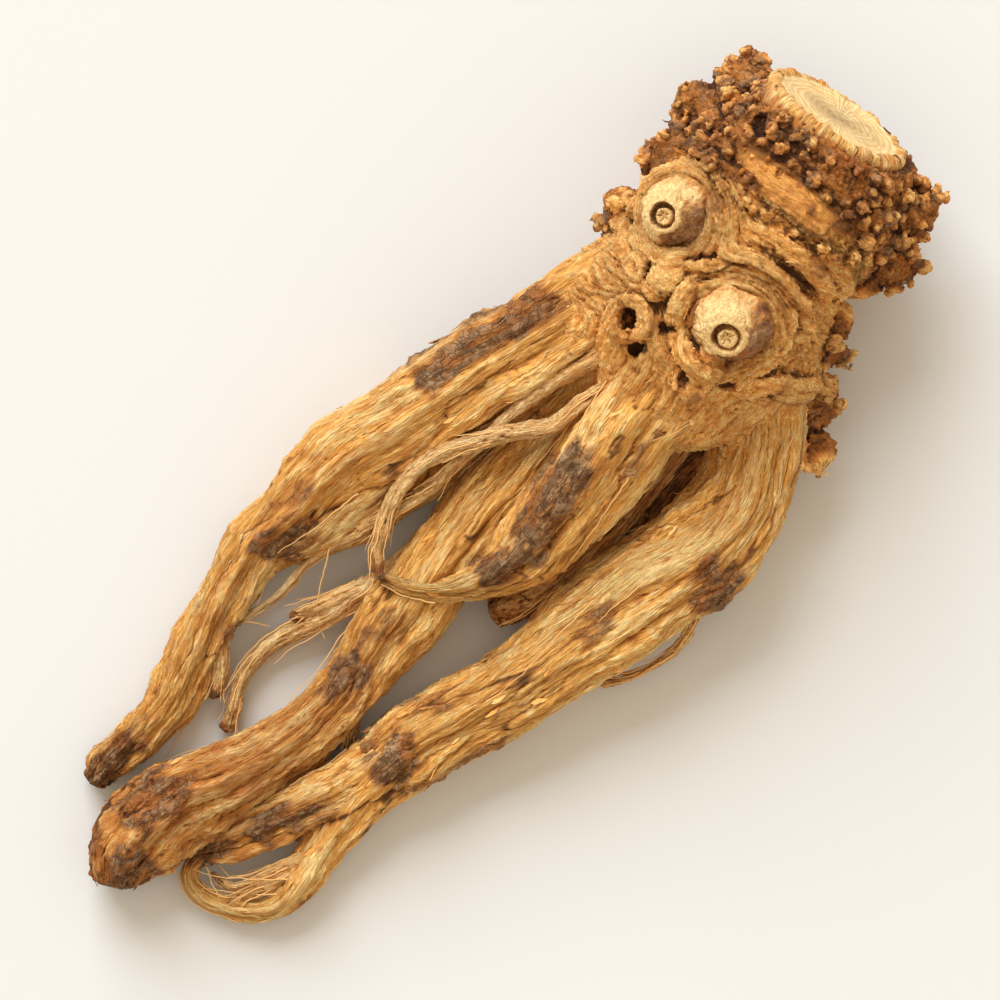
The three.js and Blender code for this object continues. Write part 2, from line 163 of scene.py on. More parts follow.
# Lumps of bark on the crown, as [right, up, height, radius].
LUMPS = [
    [49.4, 36.2, 14.6, 4.2], [52.6, 36.6, 15, 2.2], [48.4, 31, 12.6, 4], [45.6, 28.4, 11.4, 3],
    [29.4, 46.6, 11.6, 5.6], [25.4, 48.6, 11, 3.6], [30.6, 51.2, 11.8, 3.6], [33.2, 50.4, 13, 3.2],
    [23.8, 50.6, 12, 1.7], [26.4, 46.4, 17, 1.7], [21.2, 43.6, 13, 2.8], [23.2, 41.2, 13.4, 4.6],
    [15.6, 37, 12.4, 2.2], [17, 34.8, 13, 3.6], [19.6, 26.4, 17.4, 1.8], [21.4, 24.8, 18.4, 1.5],
    [41.6, 22.6, 11, 2.6], [40.8, 18.8, 10, 2.2], [38.2, 11.8, 8.8, 3.4], [39.6, 6.2, 8, 2.4],
    [36.4, 14.2, 14.6, 2], [33.4, 13.6, 16.4, 1.9], [30.4, 13, 17.2, 2.1],
]
# Side shoots and roots that came off: foot, tip, foot radius and tip radius.
CONES = [
    ([22.7, 35.6, 21.6], [20, 35, 28.4], 5.2, 1.9), ([28.6, 22.6, 23.6], [27.9, 19.8, 30.2], 5.6, 2.1),
]
BROKEN_TUBES = [
    ([17.6, 22.8, 15], [15.7, 22.4, 25.0], 3.1, 2.8), ([36.6, 13.6, 10], [41.8, 13.4, 11.2], 2.6, 2.1),
    ([36, 8, 8], [41, 4.8, 8.4], 2.3, 1.8),
]
# Short stubs and skirts of bark on the crown, finer than the CAD has them: [right, up, lift over the skin, radius].
CROWN_LIMBS = [
    [[22.6, 30, -0.6, 1.2], [21, 27.8, 0.3, 1.7], [19.4, 25.8, 0.2, 1.6]],
    [[24, 27.6, -0.6, 0.8], [23, 25.8, 0.3, 1.1], [22, 23.8, 0.6, 1]],
    [[27, 19, -0.6, 1.6], [25, 16.4, 0.4, 2.3], [23.2, 13.8, 0, 1.8]],
    [[28.6, 14.6, 0, 1.1], [31, 13.8, 0.5, 1.3], [34, 14.4, 0.4, 1.3], [37, 13.8, 0.2, 1.4], [39, 14.6, 0, 1.2]],
    [[17.6, 36.4, -0.3, 0.9], [20.6, 40.4, -0.2, 1.1], [25.4, 41.6, 0, 1.2], [30.2, 39.4, -0.4, 1]],
    [[30.4, 33.4, -0.7, 0.9], [33.6, 32.6, -0.2, 1.2], [37.6, 29.4, 0, 1.3], [40.6, 25.6, 0, 1.1]],
    [[27.4, 31.4, -0.6, 0.9], [31, 29.6, -0.2, 1.1], [35.6, 26.2, 0, 1.1], [38.4, 22, 0, 1]],
    [[17.4, 32.4, -0.6, 0.9], [20.4, 29.8, -0.2, 1], [25, 29.2, 0, 1], [28.6, 30.6, -0.5, 0.8]],
    [[22, 24.4, -0.6, 0.8], [21.6, 20.4, -0.1, 1], [24.2, 16.6, 0, 1], [28.8, 15.6, -0.2, 0.9]],
    [[34.6, 26.4, -0.6, 0.8], [35.6, 22, -0.1, 1.1], [33.8, 17.6, 0, 1], [30.6, 15.8, -0.3, 0.8]],
]
# Dark pits between them: right, up, and half sizes.
PITS = [
    ([32.2, 46.4], [1.5, 2.0, 2.2]), ([17.2, 18.8], [1.6, 1.0, 2.4]), ([20.6, 21.2], [1.4, 0.9, 1.8]),
    ([24.6, 30], [2.4, 0.8, 1.1]), ([18.4, 28.4], [0.9, 1.5, 1.5]), ([22.6, 14.6], [0.9, 1.4, 2.0]),
    ([28, 14], [1.5, 0.8, 1.6]),
]
# Parts of the crown that are crowded with knobs: centre, reach, and the knobs' smallest and largest radius.
KNOBBLY = [
    ([28, 48, 13], 8.5, 0.9, 1.9), ([21, 42, 13], 4.5, 0.7, 1.5), ([16, 36, 13], 4, 0.5, 1.4),
    ([49, 33, 14], 7.5, 0.6, 1.5), ([41, 20.5, 11], 4.5, 0.5, 1.4), ([38.5, 10, 9], 5.5, 0.5, 1.4),
]
# Patches of grey-brown outer bark on the roots: from, to and reach, on the plan.
BARK_PATCHES = [
    ([5, 24.4], [-9.4, 16], 2.4), ([-25.5, -4.6], [-29, -6], 2.3), ([-47, -31], [-51, -35], 2.2),
    ([9, 3.8], [5.4, -3.4], 3.4), ([3, -7], [-1, -9], 2), ([-18.8, -21.6], [-20, -24], 2.6),
    ([-42, -36.8], [-46, -38.6], 3.2), ([-46, -45], [-48, -48], 3), ([27.6, -10.6], [26, -12], 2.8),
    ([-12.6, -31.4], [-13.6, -33.8], 2.4), ([-24, -39.4], [-30, -42], 1.8), ([-35, -43.6], [-38, -45], 1.6),
]
HAIRS = [
    [[-21.4, -6.2, 7], [-23, -12.2, 5.4], [-22.8, -15.8, 4.4], [-22.2, -17.5, 4]],
    [[-38.1, -24.2, 3], [-39.6, -28.1, 2], [-41.4, -31.2, 1.2], [-42.4, -32.6, 1]],
    [[-32.5, -15.4, 4.2], [-30.4, -15.6, 3.6], [-29, -16, 3.2]],
    [[-15.3, -8.6, 9], [-16.6, -11.6, 8.4], [-18.6, -12.6, 7], [-19.2, -14.4, 5]],
    [[-22.6, -45.2, 4], [-27, -46.2, 4.4], [-30.8, -47.4, 3.8], [-33.4, -49.2, 3]],
    [[-24.4, -47.6, 3.2], [-28.4, -49.6, 3.4], [-32, -50, 2.8], [-35, -49, 2.6]],
    [[-37.6, -46, 2.8], [-36, -48, 2.2], [-34.6, -50.4, 1.8]],
    [[14.6, -17.6, 9], [17.6, -18.4, 8.4], [21, -17.6, 7.6], [23.4, -15.6, 6.8]],
]


# Numbers and noise

MIXER = np.random.RandomState(43)
SHUFFLE = MIXER.permutation(256)
SLOPES = MIXER.normal(size=(256, 3))
SLOPES /= np.linalg.norm(SLOPES, axis=1, keepdims=True)


def pick(cell):
    """A repeatable number from 0 to 255 for each row of whole numbers."""
    cell = cell & 255
    return SHUFFLE[(SHUFFLE[(SHUFFLE[cell[:, 0]] + cell[:, 1]) & 255] + cell[:, 2]) & 255]


def noise(points, seed=0):
    """Smooth noise from about -1 to 1 at an (n, 3) array of points, with features about one unit across."""
    points = points + seed * np.array([17.3, 5.9, 31.7])
    cell = np.floor(points).astype(np.int64)
    local = points - cell
    fade = local**3 * (local * (local * 6 - 15) + 10)
    total = np.zeros(len(points))
    for corner in np.ndindex(2, 2, 2):
        weight = np.where(corner, fade, 1 - fade).prod(axis=1)
        total += weight * np.einsum("ij,ij->i", SLOPES[pick(cell + corner)], local - corner)
    return total * 1.7


def crease(values, width):
    """1 where the values cross zero, falling to 0 away from it."""
    return np.exp(-((values / width) ** 2))


def rise(values, low, high):
    """0 below low, 1 above high, and smooth between them."""
    share = np.clip((values - low) / (high - low), 0, 1)
    return share * share * (3 - 2 * share)


def stretched(grain, across, along):
    """Grain coordinates, two across the fibres and one along them, in features of the given sizes."""
    return grain / np.array([across, across, along])


# Paths

def spread(points, t):
    """Points on the smooth curve through a list of points, at shares t of the way."""
    points = np.array(points, float)
    padded = np.vstack([2 * points[0] - points[1], points, 2 * points[-1] - points[-2]])
    place = np.clip(t, 0, 1) * (len(points) - 1)
    i = np.minimum(place.astype(int), len(points) - 2)
    w = (place - i)[:, None]
    before, start, end, after = (padded[i + k] for k in range(4))
    leave, arrive = (end - before) / 2, (after - start) / 2
    return (
        (2 * start - 2 * end + leave + arrive) * w**3
        + (3 * end - 3 * start - 2 * leave - arrive) * w**2
        + leave * w
        + start
    )


class Path:
    """A smooth route with its sizes, and the directions across it."""

    def __init__(self, rows):
        self.rows = np.array([row if len(row) == 5 else [*row, row[3]] for row in rows], float)
        steps = spread(self.rows[:, :3], np.linspace(0, 1, 201))
        self.length = np.linalg.norm(np.diff(steps, axis=0), axis=1).sum()

    def at(self, t):
        """Centre, direction along, direction to the side, direction up, half width and half height."""
        values = spread(self.rows, t)
        step = 1e-4
        forward = spread(self.rows[:, :3], np.clip(t + step, 0, 1))
        back = spread(self.rows[:, :3], np.clip(t - step, 0, 1))
        along = forward - back
        along /= np.linalg.norm(along, axis=1, keepdims=True)
        side = np.cross(along, [0, 0, 1])
        side /= np.linalg.norm(side, axis=1, keepdims=True)
        return values[:, :3], along, side, np.cross(side, along), values[:, 3], values[:, 4]


def folds(sides, depth, phase, along, angle):
    """The broad folds, knots and ridges of a root, as the CAD has them."""
    broad = 0.55 * np.cos(3 * angle + 2 * phase + 0.05 * along)
    knots = 0.5 * np.cos(0.32 * along + phase) * np.cos(2 * angle + 3 * phase + 0.11 * along)
    fade = 0.65 + 0.35 * np.sin(0.13 * along + 3 * angle + phase)
    ridges = 0.75 * fade * np.cos(sides / 2 * angle)
    return 1 + depth * (broad + knots + ridges)


# Meshes

def to_model(points):
    """Points of the plan, in millimetres, as metres in the model's frame."""
    c, s = math.cos(PLAN_TURN), math.sin(PLAN_TURN)
    x = points[:, 0] * c - points[:, 1] * s + PLAN_SHIFT[0]
    y = points[:, 0] * s + points[:, 1] * c + PLAN_SHIFT[1]
    return np.column_stack([x, y, points[:, 2]]) / 1000


def make_mesh(name, points, quads, triangles=None, **values):
    """A smooth-shaded mesh from plan points and faces, with a number or a vector kept at each point."""
    triangles = np.zeros((0, 3), int) if triangles is None else triangles
    mesh = bpy.data.meshes.new(name)
    corners = np.concatenate([quads.ravel(), triangles.ravel()]).astype(np.int32)
    starts = np.concatenate([np.arange(len(quads)) * 4, len(quads) * 4 + np.arange(len(triangles)) * 3])
    mesh.vertices.add(len(points))
    mesh.vertices.foreach_set("co", to_model(points).astype(np.float32).ravel())
    mesh.loops.add(len(corners))
    mesh.loops.foreach_set("vertex_index", corners)
    mesh.polygons.add(len(starts))
    mesh.polygons.foreach_set("loop_start", starts.astype(np.int32))
    mesh.update(calc_edges=True)
    for key, value in values.items():
        if key == "flow":
            value = to_model(value) - to_model(np.zeros((1, 3)))
        vector = value.ndim == 2
        kept = mesh.attributes.new(key, "FLOAT_VECTOR" if vector else "FLOAT", "POINT")
        kept.data.foreach_set("vector" if vector else "value", value.astype(np.float32).ravel())
    mesh.shade_smooth()
    return mesh


def place(name, mesh, material, slot):
    """Puts a finished mesh in the scene as a piece of the root."""
    piece = bpy.data.objects.new(name, mesh)
    bpy.context.collection.objects.link(piece)
    mesh.materials.clear()
    mesh.materials.append(material)
    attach(piece, BODY)
    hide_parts(NODE)
    return piece


def ring_faces(rings, around):
    """Quads between rings of points, and the triangles that close both ends on two last points."""
    i, j = np.meshgrid(np.arange(rings - 1), np.arange(around), indexing="ij")
    k = (j + 1) % around
    quads = np.stack([i * around + j, i * around + k, (i + 1) * around + k, (i + 1) * around + j], axis=-1)
    j = np.arange(around)
    k = (j + 1) % around
    first, last = rings * around, rings * around + 1
    start = np.column_stack([np.full(around, first), k, j])
    end = np.column_stack([np.full(around, last), (rings - 1) * around + j, (rings - 1) * around + k])
    return quads.reshape(-1, 4), np.vstack([start, end])


def join(parts):
    """Several (points, quads, triangles, values) as one."""
    offset = 0
    points, quads, triangles, values = [], [], [], []
    for part_points, part_quads, part_triangles, part_values in parts:
        points.append(part_points)
        quads.append(part_quads + offset)
        triangles.append(part_triangles + offset)
        values.append(part_values)
        offset += len(part_points)
    merged = {key: np.concatenate([value[key] for value in values]) for key in values[0]}
    return np.vstack(points), np.vstack(quads), np.vstack(triangles), merged


# Bark relief

def billow(values, sharpness=0.75):
    """Rounded ridges with sharp valleys where the values cross zero, about 0 on average."""
    return np.abs(values) ** sharpness - 0.4


def bark_relief(points, grain, scale, rough):
    """Height of dried bark over its base, in millimetres, and how hollow and how pale it is.

    grain holds two coordinates across the fibres and one along them, scale is 1 for a stout root and less
    for a slender one, and rough is 1 where the bark is crumbly."""
    drift = points / (4.5 * scale)
    sway = points / (1.2 * scale)
    bent = grain + 0.45 * scale * np.column_stack([noise(drift, 1), noise(drift, 2), 0.5 * noise(drift, 3)])
    bent += 0.15 * scale * np.column_stack([noise(sway, 61), noise(sway, 62), 0 * sway[:, 0]])
    wide = noise(stretched(bent, 3.5 * scale, 34 * scale), 4)
    middle = noise(stretched(bent, 1.7 * scale, 14 * scale), 5)
    narrow = noise(stretched(bent, 0.85 * scale, 7 * scale), 6)
    fine = noise(stretched(bent, 0.45 * scale, 3.8 * scale), 7)
    nicks = noise(stretched(bent, 1.1 * scale, 0.5 * scale), 8)
    across = noise(stretched(bent, 4.5 * scale, 1.5 * scale), 17)
    lumps = noise(points / (7 * scale), 9)
    small_lumps = noise(points / (2.6 * scale), 10)
    crumbs = noise(points / 0.8, 11)
    grit = noise(points / 0.42, 18)
    folded = billow(noise(points / 1.7 + 0.6 * crumbs[:, None], 63))
    crack = crease(across, 0.07) * rise(lumps, 0.05, 0.5)
    height = scale * (
        0.5 * lumps
        + 0.25 * small_lumps
        + 1.05 * billow(wide)
        + 0.45 * billow(middle)
        - 0.42 * billow(narrow)
        - 0.24 * billow(fine)
        + 0.07 * nicks
        - 0.15 * crack
    )
    height += (0.07 + 0.3 * rough) * crumbs + (0.02 + 0.14 * rough) * grit - 0.5 * rough * folded
    # Painted shade: hollow marks the valleys of the folds, the fine furrows and the cracks, which the shader
    # darkens.
    valley = np.maximum(0.9 * crease(wide, 0.028), 0.75 * crease(middle, 0.03))
    valley = np.maximum(valley, 0.55 * rise(np.abs(narrow), 0.36, 0.66))
    hollow = valley + 0.16 * rise(np.abs(fine), 0.25, 0.6) + 0.12 * crack
    hollow = np.clip(hollow + rough * rise(folded, 0, 0.4), 0, 1)
    pale = 0.5 * crease(narrow, 0.14) + 0.35 * crease(fine, 0.16)
    pale = pale + 0.45 * rise(np.abs(wide), 0.15, 0.6) + 0.2 * nicks
    pale += 0.5 * rough * rise(-folded, 0, 0.35)
    return height, hollow, np.clip(pale, 0, 1)


def bark_patches(points, grain):
    """Grey-brown outer bark left on a root: 1 in the middle of a patch, falling to 0 round it."""
    ragged = 1.3 * noise(points / 2.6, 12) + 1.5 * noise(stretched(grain, 1.2, 6), 13)
    found = 0.6 * rise(noise(stretched(grain, 6, 14), 14) + 0.2 * ragged, 0.45, 0.8)
    for start, end, reach in BARK_PATCHES:
        start, end = np.array(start), np.array(end)
        axis = end - start
        share = np.clip((points[:, :2] - start) @ axis / (axis @ axis), 0, 1)
        gap = np.linalg.norm(points[:, :2] - start - share[:, None] * axis, axis=1)
        found = np.maximum(found, rise(reach + ragged - gap, -2.0, 2.2))
    return found


def rest_on_table(points):
    """Nothing reaches below the table: the underside is pressed flat there."""
    points[:, 2] = np.maximum(points[:, 2], TABLE_HEIGHT)
    return points


def root_skin(rows, sides, depth, phase, scale, across, along, stain):
    """The skin of one root, swept along its path on a fine grid and wrinkled.

    stain gives the share of the way where the bark starts to turn brown, how brown its end is, how brown the
    rest is, and how much darker all of it is."""
    path = Path(rows)
    widest = path.rows[:, 3:].max()
    typical = path.rows[:, 3].mean()
    rings = int(path.length / along) + 2
    around = max(12, int(2 * math.pi * widest / across))
    t = np.linspace(0, 1, rings)
    centre, forward, side, top, width, tall = path.at(t)
    a = np.tile(2 * math.pi * np.arange(around) / around, rings)
    s = np.repeat(t * path.length, around)
    ring = np.repeat(np.arange(rings), around)

    # the end is broken off, rounded and ragged
    end_reach = 0.9 * width[-1]
    torn = noise(np.column_stack([2 * np.cos(a), 2 * np.sin(a), s / 6]) + 9 * phase, 19)
    end_gap = np.clip((path.length - s) / (end_reach * (1 + 0.5 * torn)), 0.02, 1)
    shrink = np.sqrt(1 - (1 - end_gap) ** 2)
    rough = rise(s, path.length - 2.5 * width[-1] - 3, path.length - 0.5)

    out = folds(sides, depth, phase, s, a) * shrink
    across_way = side[ring] * (width[ring] * np.sin(a))[:, None] + top[ring] * (tall[ring] * np.cos(a))[:, None]
    base = centre[ring] + across_way * out[:, None]
    outward = across_way / np.linalg.norm(across_way, axis=1, keepdims=True)

    twist = a + 0.012 * s + 0.25 * np.sin(0.07 * s + phase)
    grain = np.column_stack([typical * np.cos(twist), typical * np.sin(twist), s]) + 40 * phase
    start, end, overall, shade = stain
    weathered = end * rise(s / path.length + 0.08 * noise(base / 6, 66), start, 1.0)
    height, hollow, pale = bark_relief(base, grain, scale, np.maximum(0.8 * rough, 0.7 * weathered))
    patch = min(1, scale**2) * bark_patches(base, grain)
    patch = np.maximum(patch, 0.75 * rough * rise(noise(base / 2, 24), -0.4, 0.3))
    crust = 0.3 * noise(base / 1.2, 15) + 0.2 * noise(base / 0.55, 16)
    size = np.minimum(1, np.minimum(width, tall) / (2.2 * scale))[ring]
    height = size * (height - 0.1 * scale + rise(patch, 0.35, 0.6) * (0.08 + crust))
    points = base + outward * (height * shrink)[:, None]
    ends = np.vstack([centre[0], centre[-1] + forward[-1] * 0.05])
    quads, triangles = ring_faces(rings, around)
    streaky = 0.1 * noise(base / 7, 25) + 0.16 * noise(stretched(grain, 2.2, 14), 64)
    browned = overall + (end - overall) * rise(s / path.length + streaky, start, start + 0.25)
    browned = np.clip(browned + 0.35 * noise(base / 3, 65), 0, 1)
    values = {
        "grain": np.vstack([grain, grain[[0, -1]]]),
        # Painted shade: shade, the last stain value, darkens all of a root that lies in shadow by raising its
        # hollow.
        "hollow": np.append(np.clip(hollow + shade, 0, 1), [0.5, 0.6]),
        "patch": np.append(patch, [0, patch[-around:].mean()]),
        "pale": np.append(pale, [0.3, 0.3]),
        "stain": np.append(browned, [0, end]),
        "flow": np.vstack([forward[ring], forward[[0, -1]]]),
    }
    return rest_on_table(np.vstack([points, ends])), quads, triangles, values


# The crown, as a field of distances that is turned into a skin

COARSE_VOXEL = 0.45
FIELD_LOW = np.array([8.0, 2.0, -1.2])
FIELD_HIGH = np.array([58.0, 56.5, 32.5])
DIRECTIONS = np.array([d for d in np.ndindex(3, 3, 3) if d != (1, 1, 1)], float) - 1
DIRECTIONS /= np.linalg.norm(DIRECTIONS, axis=1, keepdims=True)


class Field:
    """How far each point of a grid lies outside the crown, in millimetres."""

    def __init__(self, low, high, voxel):
        self.low, self.voxel = low, voxel
        self.shape = np.ceil((high - low) / voxel).astype(int) + 1
        self.far = np.full(self.shape, 8.0)

    def region(self, low, high):
        first = np.clip(np.floor((low - self.low) / self.voxel), 0, self.shape - 1).astype(int)
        last = np.clip(np.ceil((high - self.low) / self.voxel) + 1, 1, self.shape).astype(int)
        return tuple(slice(a, b) for a, b in zip(first, last))

    def points(self, region):
        lines = [self.low[k] + self.voxel * np.arange(region[k].start, region[k].stop) for k in range(3)]
        return np.stack(np.meshgrid(*lines, indexing="ij"), axis=-1).reshape(-1, 3)

    def add(self, low, high, shape, blend):
        """Joins a shape to the field, with a fillet of the given size."""
        region = self.region(low - blend - 1, high + blend + 1)
        old = self.far[region]
        new = shape(self.points(region)).reshape(old.shape)
        share = np.clip(0.5 + 0.5 * (old - new) / blend, 0, 1)
        self.far[region] = old * (1 - share) + new * share - blend * share * (1 - share)

    def cut(self, low, high, shape):
        """Takes a shape away from the field."""
        region = self.region(low - 1, high + 1)
        taken = shape(self.points(region)).reshape(self.far[region].shape)
        self.far[region] = np.maximum(self.far[region], -taken)

    def refine(self):
        """Halves the spacing of the grid."""
        for axis in range(3):
            far = np.moveaxis(self.far, axis, 0)
            finer = np.empty((2 * len(far) - 1, *far.shape[1:]))
            finer[::2] = far
            finer[1::2] = (far[1:] + far[:-1]) / 2
            self.far = np.moveaxis(finer, 0, axis)
        self.far = np.ascontiguousarray(self.far)
        self.voxel /= 2
        self.shape = np.array(self.far.shape)

    def at(self, points):
        """The field's value at the grid point nearest to each point."""
        place = np.rint((points - self.low) / self.voxel).astype(int)
        return self.far[tuple(np.clip(place, 0, self.shape - 1).T)]

    def openness(self, points, reach):
        """How open the space round each point is: about 0 on a flat, above on a tip, below in a crevice."""
        total = sum(np.clip(self.at(points + reach * way), -reach, reach) for way in DIRECTIONS)
        return total / (len(DIRECTIONS) * reach)


def limb(field, rows, blend, caps=(3.0, 3.0), steps=12):
    """Adds a limb with oval sections along a path, whose ends are rounded to the depths in caps."""
    path = Path(rows)
    centre, _, side, top, width, tall = path.at(np.linspace(0, 1, steps + 1))
    reach = np.maximum(width, tall)[:, None]

    def shape(points):
        best = np.full(len(points), 50.0)
        for i in range(steps):
            axis = centre[i + 1] - centre[i]
            span = np.linalg.norm(axis)
            share = np.clip((points - centre[i]) @ axis / span**2, 0, 1)
            gap = points - centre[i] - share[:, None] * axis
            w = width[i] + share * (width[i + 1] - width[i])
            h = tall[i] + share * (tall[i + 1] - tall[i])
            depth = np.minimum(w, h)
            if i == 0:
                depth = np.where(share <= 0, caps[0], depth)
            if i == steps - 1:
                depth = np.where(share >= 1, caps[1], depth)
            away = np.sqrt((gap @ side[i] / w) ** 2 + (gap @ top[i] / h) ** 2 + (gap @ axis / span / depth) ** 2)
            best = np.minimum(best, (away - 1) * np.minimum(w, h))
        return best

    field.add((centre - reach).min(axis=0), (centre + reach).max(axis=0), shape, blend)


def ball(field, centre, radius, blend):
    """Adds a lump."""
    centre = np.array(centre, float)

    def distance(points):
        return np.linalg.norm(points - centre, axis=1) - radius

    field.add(centre - radius, centre + radius, distance, blend)


def along_axis(points, foot, tip):
    """Distance along the axis from foot to tip, distance from it, and its length."""
    foot, tip = np.array(foot, float), np.array(tip, float)
    axis = tip - foot
    length = np.linalg.norm(axis)
    along = (points - foot) @ axis / length
    radial = np.linalg.norm(points - foot - along[:, None] * axis / length, axis=1)
    return along, radial, length


def turned(field, foot, tip, profile, blend):
    """Adds a round shape about an axis; profile lists shares of the way from foot to tip with radii."""
    shares, radii = np.array(profile, float).T
    reach = radii.max()

    def shape(points):
        along, radial, length = along_axis(points, foot, tip)
        radius = np.interp(along / length, shares, radii)
        low, high = shares[0] * length, shares[-1] * length
        return np.maximum(np.maximum(low - along, along - high), (radial - radius) * 0.85)

    ends = np.array([foot, tip], float)
    field.add(ends.min(axis=0) - reach, ends.max(axis=0) + reach, shape, blend)


def spokes_of(direction):
    """Two directions across an axis."""
    across = np.cross(direction, [0, 0, 1])
    across /= np.linalg.norm(across)
    return across, np.cross(across, direction)


def outermost(field, start, way, longest):
    """The last place of the skin that is met going out from a point."""
    route = start + way * np.arange(longest, 1, -0.1)[:, None]
    inside = np.flatnonzero(field.at(route) < 0)
    return route[inside[0]] if len(inside) else None


def knob(field, rng, spot, way, radius):
    """Adds a small crooked knob of bark on a short stalk, with a dent in its head."""
    lean = way + rng.normal(0, 0.4, 3)
    lean /= np.linalg.norm(lean)
    head = spot + lean * radius * 1.15
    ball(field, spot, radius * 0.72, 0.4)
    ball(field, (spot + head) / 2, radius * 0.6, 0.3)
    ball(field, head, radius * 0.6, 0.25)
    for _ in range(4):
        sideways = rng.uniform(-1, 1, 3)
        sideways *= radius * rng.uniform(0.5, 0.75) / np.linalg.norm(sideways)
        ball(field, head + sideways, radius * rng.uniform(0.28, 0.5), 0.12)
    if radius > 0.9:
        dent = head + lean * radius * 0.75
        deep = radius * 0.42
        field.cut(dent - deep, dent + deep, lambda points: np.linalg.norm(points - dent, axis=1) - deep)


def add_knobs(field):
    """Rows of knobs round the collar, and crowds of them on the knobbly parts."""
    rng = np.random.RandomState(7)
    across, over = spokes_of(STEM_AXIS)
    spots = []
    for row, level in enumerate(np.arange(2.6, 13, 1.7)):
        for j in range(32):
            angle = 2 * math.pi * (j + 0.5 * (row % 2) + rng.uniform(-0.4, 0.4)) / 32
            way = across * math.cos(angle) + over * math.sin(angle)
            start = DISC_CENTRE - STEM_AXIS * (level + rng.uniform(-0.6, 0.6))
            spots.append((outermost(field, start, way, 17), way, rng.uniform(0.6, 1.3)))
    for centre, reach, smallest, largest in KNOBBLY:
        for _ in range(int(6 * reach / largest)):
            way = rng.normal(0, 1, 3)
            way[2] = abs(way[2]) - 0.3
            way /= np.linalg.norm(way)
            start = np.array(centre, float) + rng.normal(0, 0.25 * reach, 3)
            spots.append((outermost(field, start, way, 9), way, rng.uniform(smallest, largest)))
    for spot, way, radius in spots:
        if spot is None or spot[2] < 0.8 or rng.rand() < 0.06:
            continue
        _, _, band_gap = nearest_on_path(spot[None], NECK_BAND)
        if band_gap[0] > 2.7:
            knob(field, rng, spot - way * (0.3 + 0.35 * radius), way, radius)


def surface_over(field, right, up):
    """The highest place of the skin over a place of the plan."""
    spot = outermost(field, np.array([right, up, 0.0]), np.array([0.0, 0.0, 1.0]), 31)
    if spot is None:
        raise RuntimeError(f"nothing lies at {right}, {up} on the plan")
    return spot


def crown_field():
    """The crown, collar, lumps, cone feet, broken tubes and the starts of the roots, and the same without knobs."""
    field = Field(FIELD_LOW, FIELD_HIGH, COARSE_VOXEL)
    limb(field, CROWN, 2.0, caps=(2.5, 3.0), steps=10)
    limb(field, COLLAR, 1.6, caps=(3.5, 1.2), steps=6)
    limb(field, NECK_BAND, 1.4, caps=(1.5, 1.5), steps=10)
    for name, rows in STOUT_ROOTS.items():
        if not name.startswith("right_fork"):
            start = [row[:3] + [row[3] - slimmer] for row, slimmer in zip(rows, (0, 0, 0.35, 1.6))]
            limb(field, start, 2.6, caps=(2, 0.6), steps=5)
    for *centre, radius in LUMPS:
        ball(field, centre, radius, 1.1)
    field.refine()
    for rows in CROWN_LIMBS:
        draped = [[x, y, surface_over(field, x, y)[2] + lift, radius] for x, y, lift, radius in rows]
        limb(field, draped, 0.6, caps=(1, 1), steps=8)
    for foot, tip, radius, tip_radius in CONES:
        swell = [[-0.5, radius], [-0.1, radius * 1.22], [0.1, radius * 1.16], [0.2, radius * 1.04]]
        turned(field, foot, tip, swell, 0.9)
    for foot, tip, radius, tip_radius in BROKEN_TUBES:
        turned(field, foot, tip, [[-0.3, radius * 0.8], [0, radius], [0.7, radius], [1, tip_radius]], 1.0)
    body = copy.copy(field)
    body.far = field.far.copy()
    add_knobs(field)
    for foot, tip, radius, tip_radius in BROKEN_TUBES:
        inner = tip_radius * 0.45

        def hollow(points, foot=foot, tip=tip, inner=inner):
            along, radial, length = along_axis(points, foot, tip)
            return np.maximum(radial - inner, 0.72 * length - along)

        ends = np.array([foot, tip], float)
        field.cut(ends.min(axis=0) - radius, ends.max(axis=0) + radius + 1, hollow)
    stub = [[0, DISC_RADIUS * 0.86], [0.72, DISC_RADIUS * 0.9], [0.96, DISC_RADIUS * 0.9]]
    turned(field, DISC_CENTRE - 9 * STEM_AXIS, DISC_CENTRE, stub, 1.0)
    for place_on_plan, radii in PITS:
        pit, radii = surface_over(field, *place_on_plan), np.array(radii)
        field.cut(
            pit - radii,
            pit + radii,
            lambda points: (np.linalg.norm((points - pit) / radii, axis=1) - 1) * radii.min(),
        )
    level = field.points(tuple(slice(0, n) for n in field.shape))
    plane = (level - DISC_CENTRE) @ STEM_AXIS + 1.2
    field.far = np.maximum(field.far, plane.reshape(field.shape))
    field.far = np.maximum(field.far, -level[:, 2].reshape(field.shape))
    return field, body


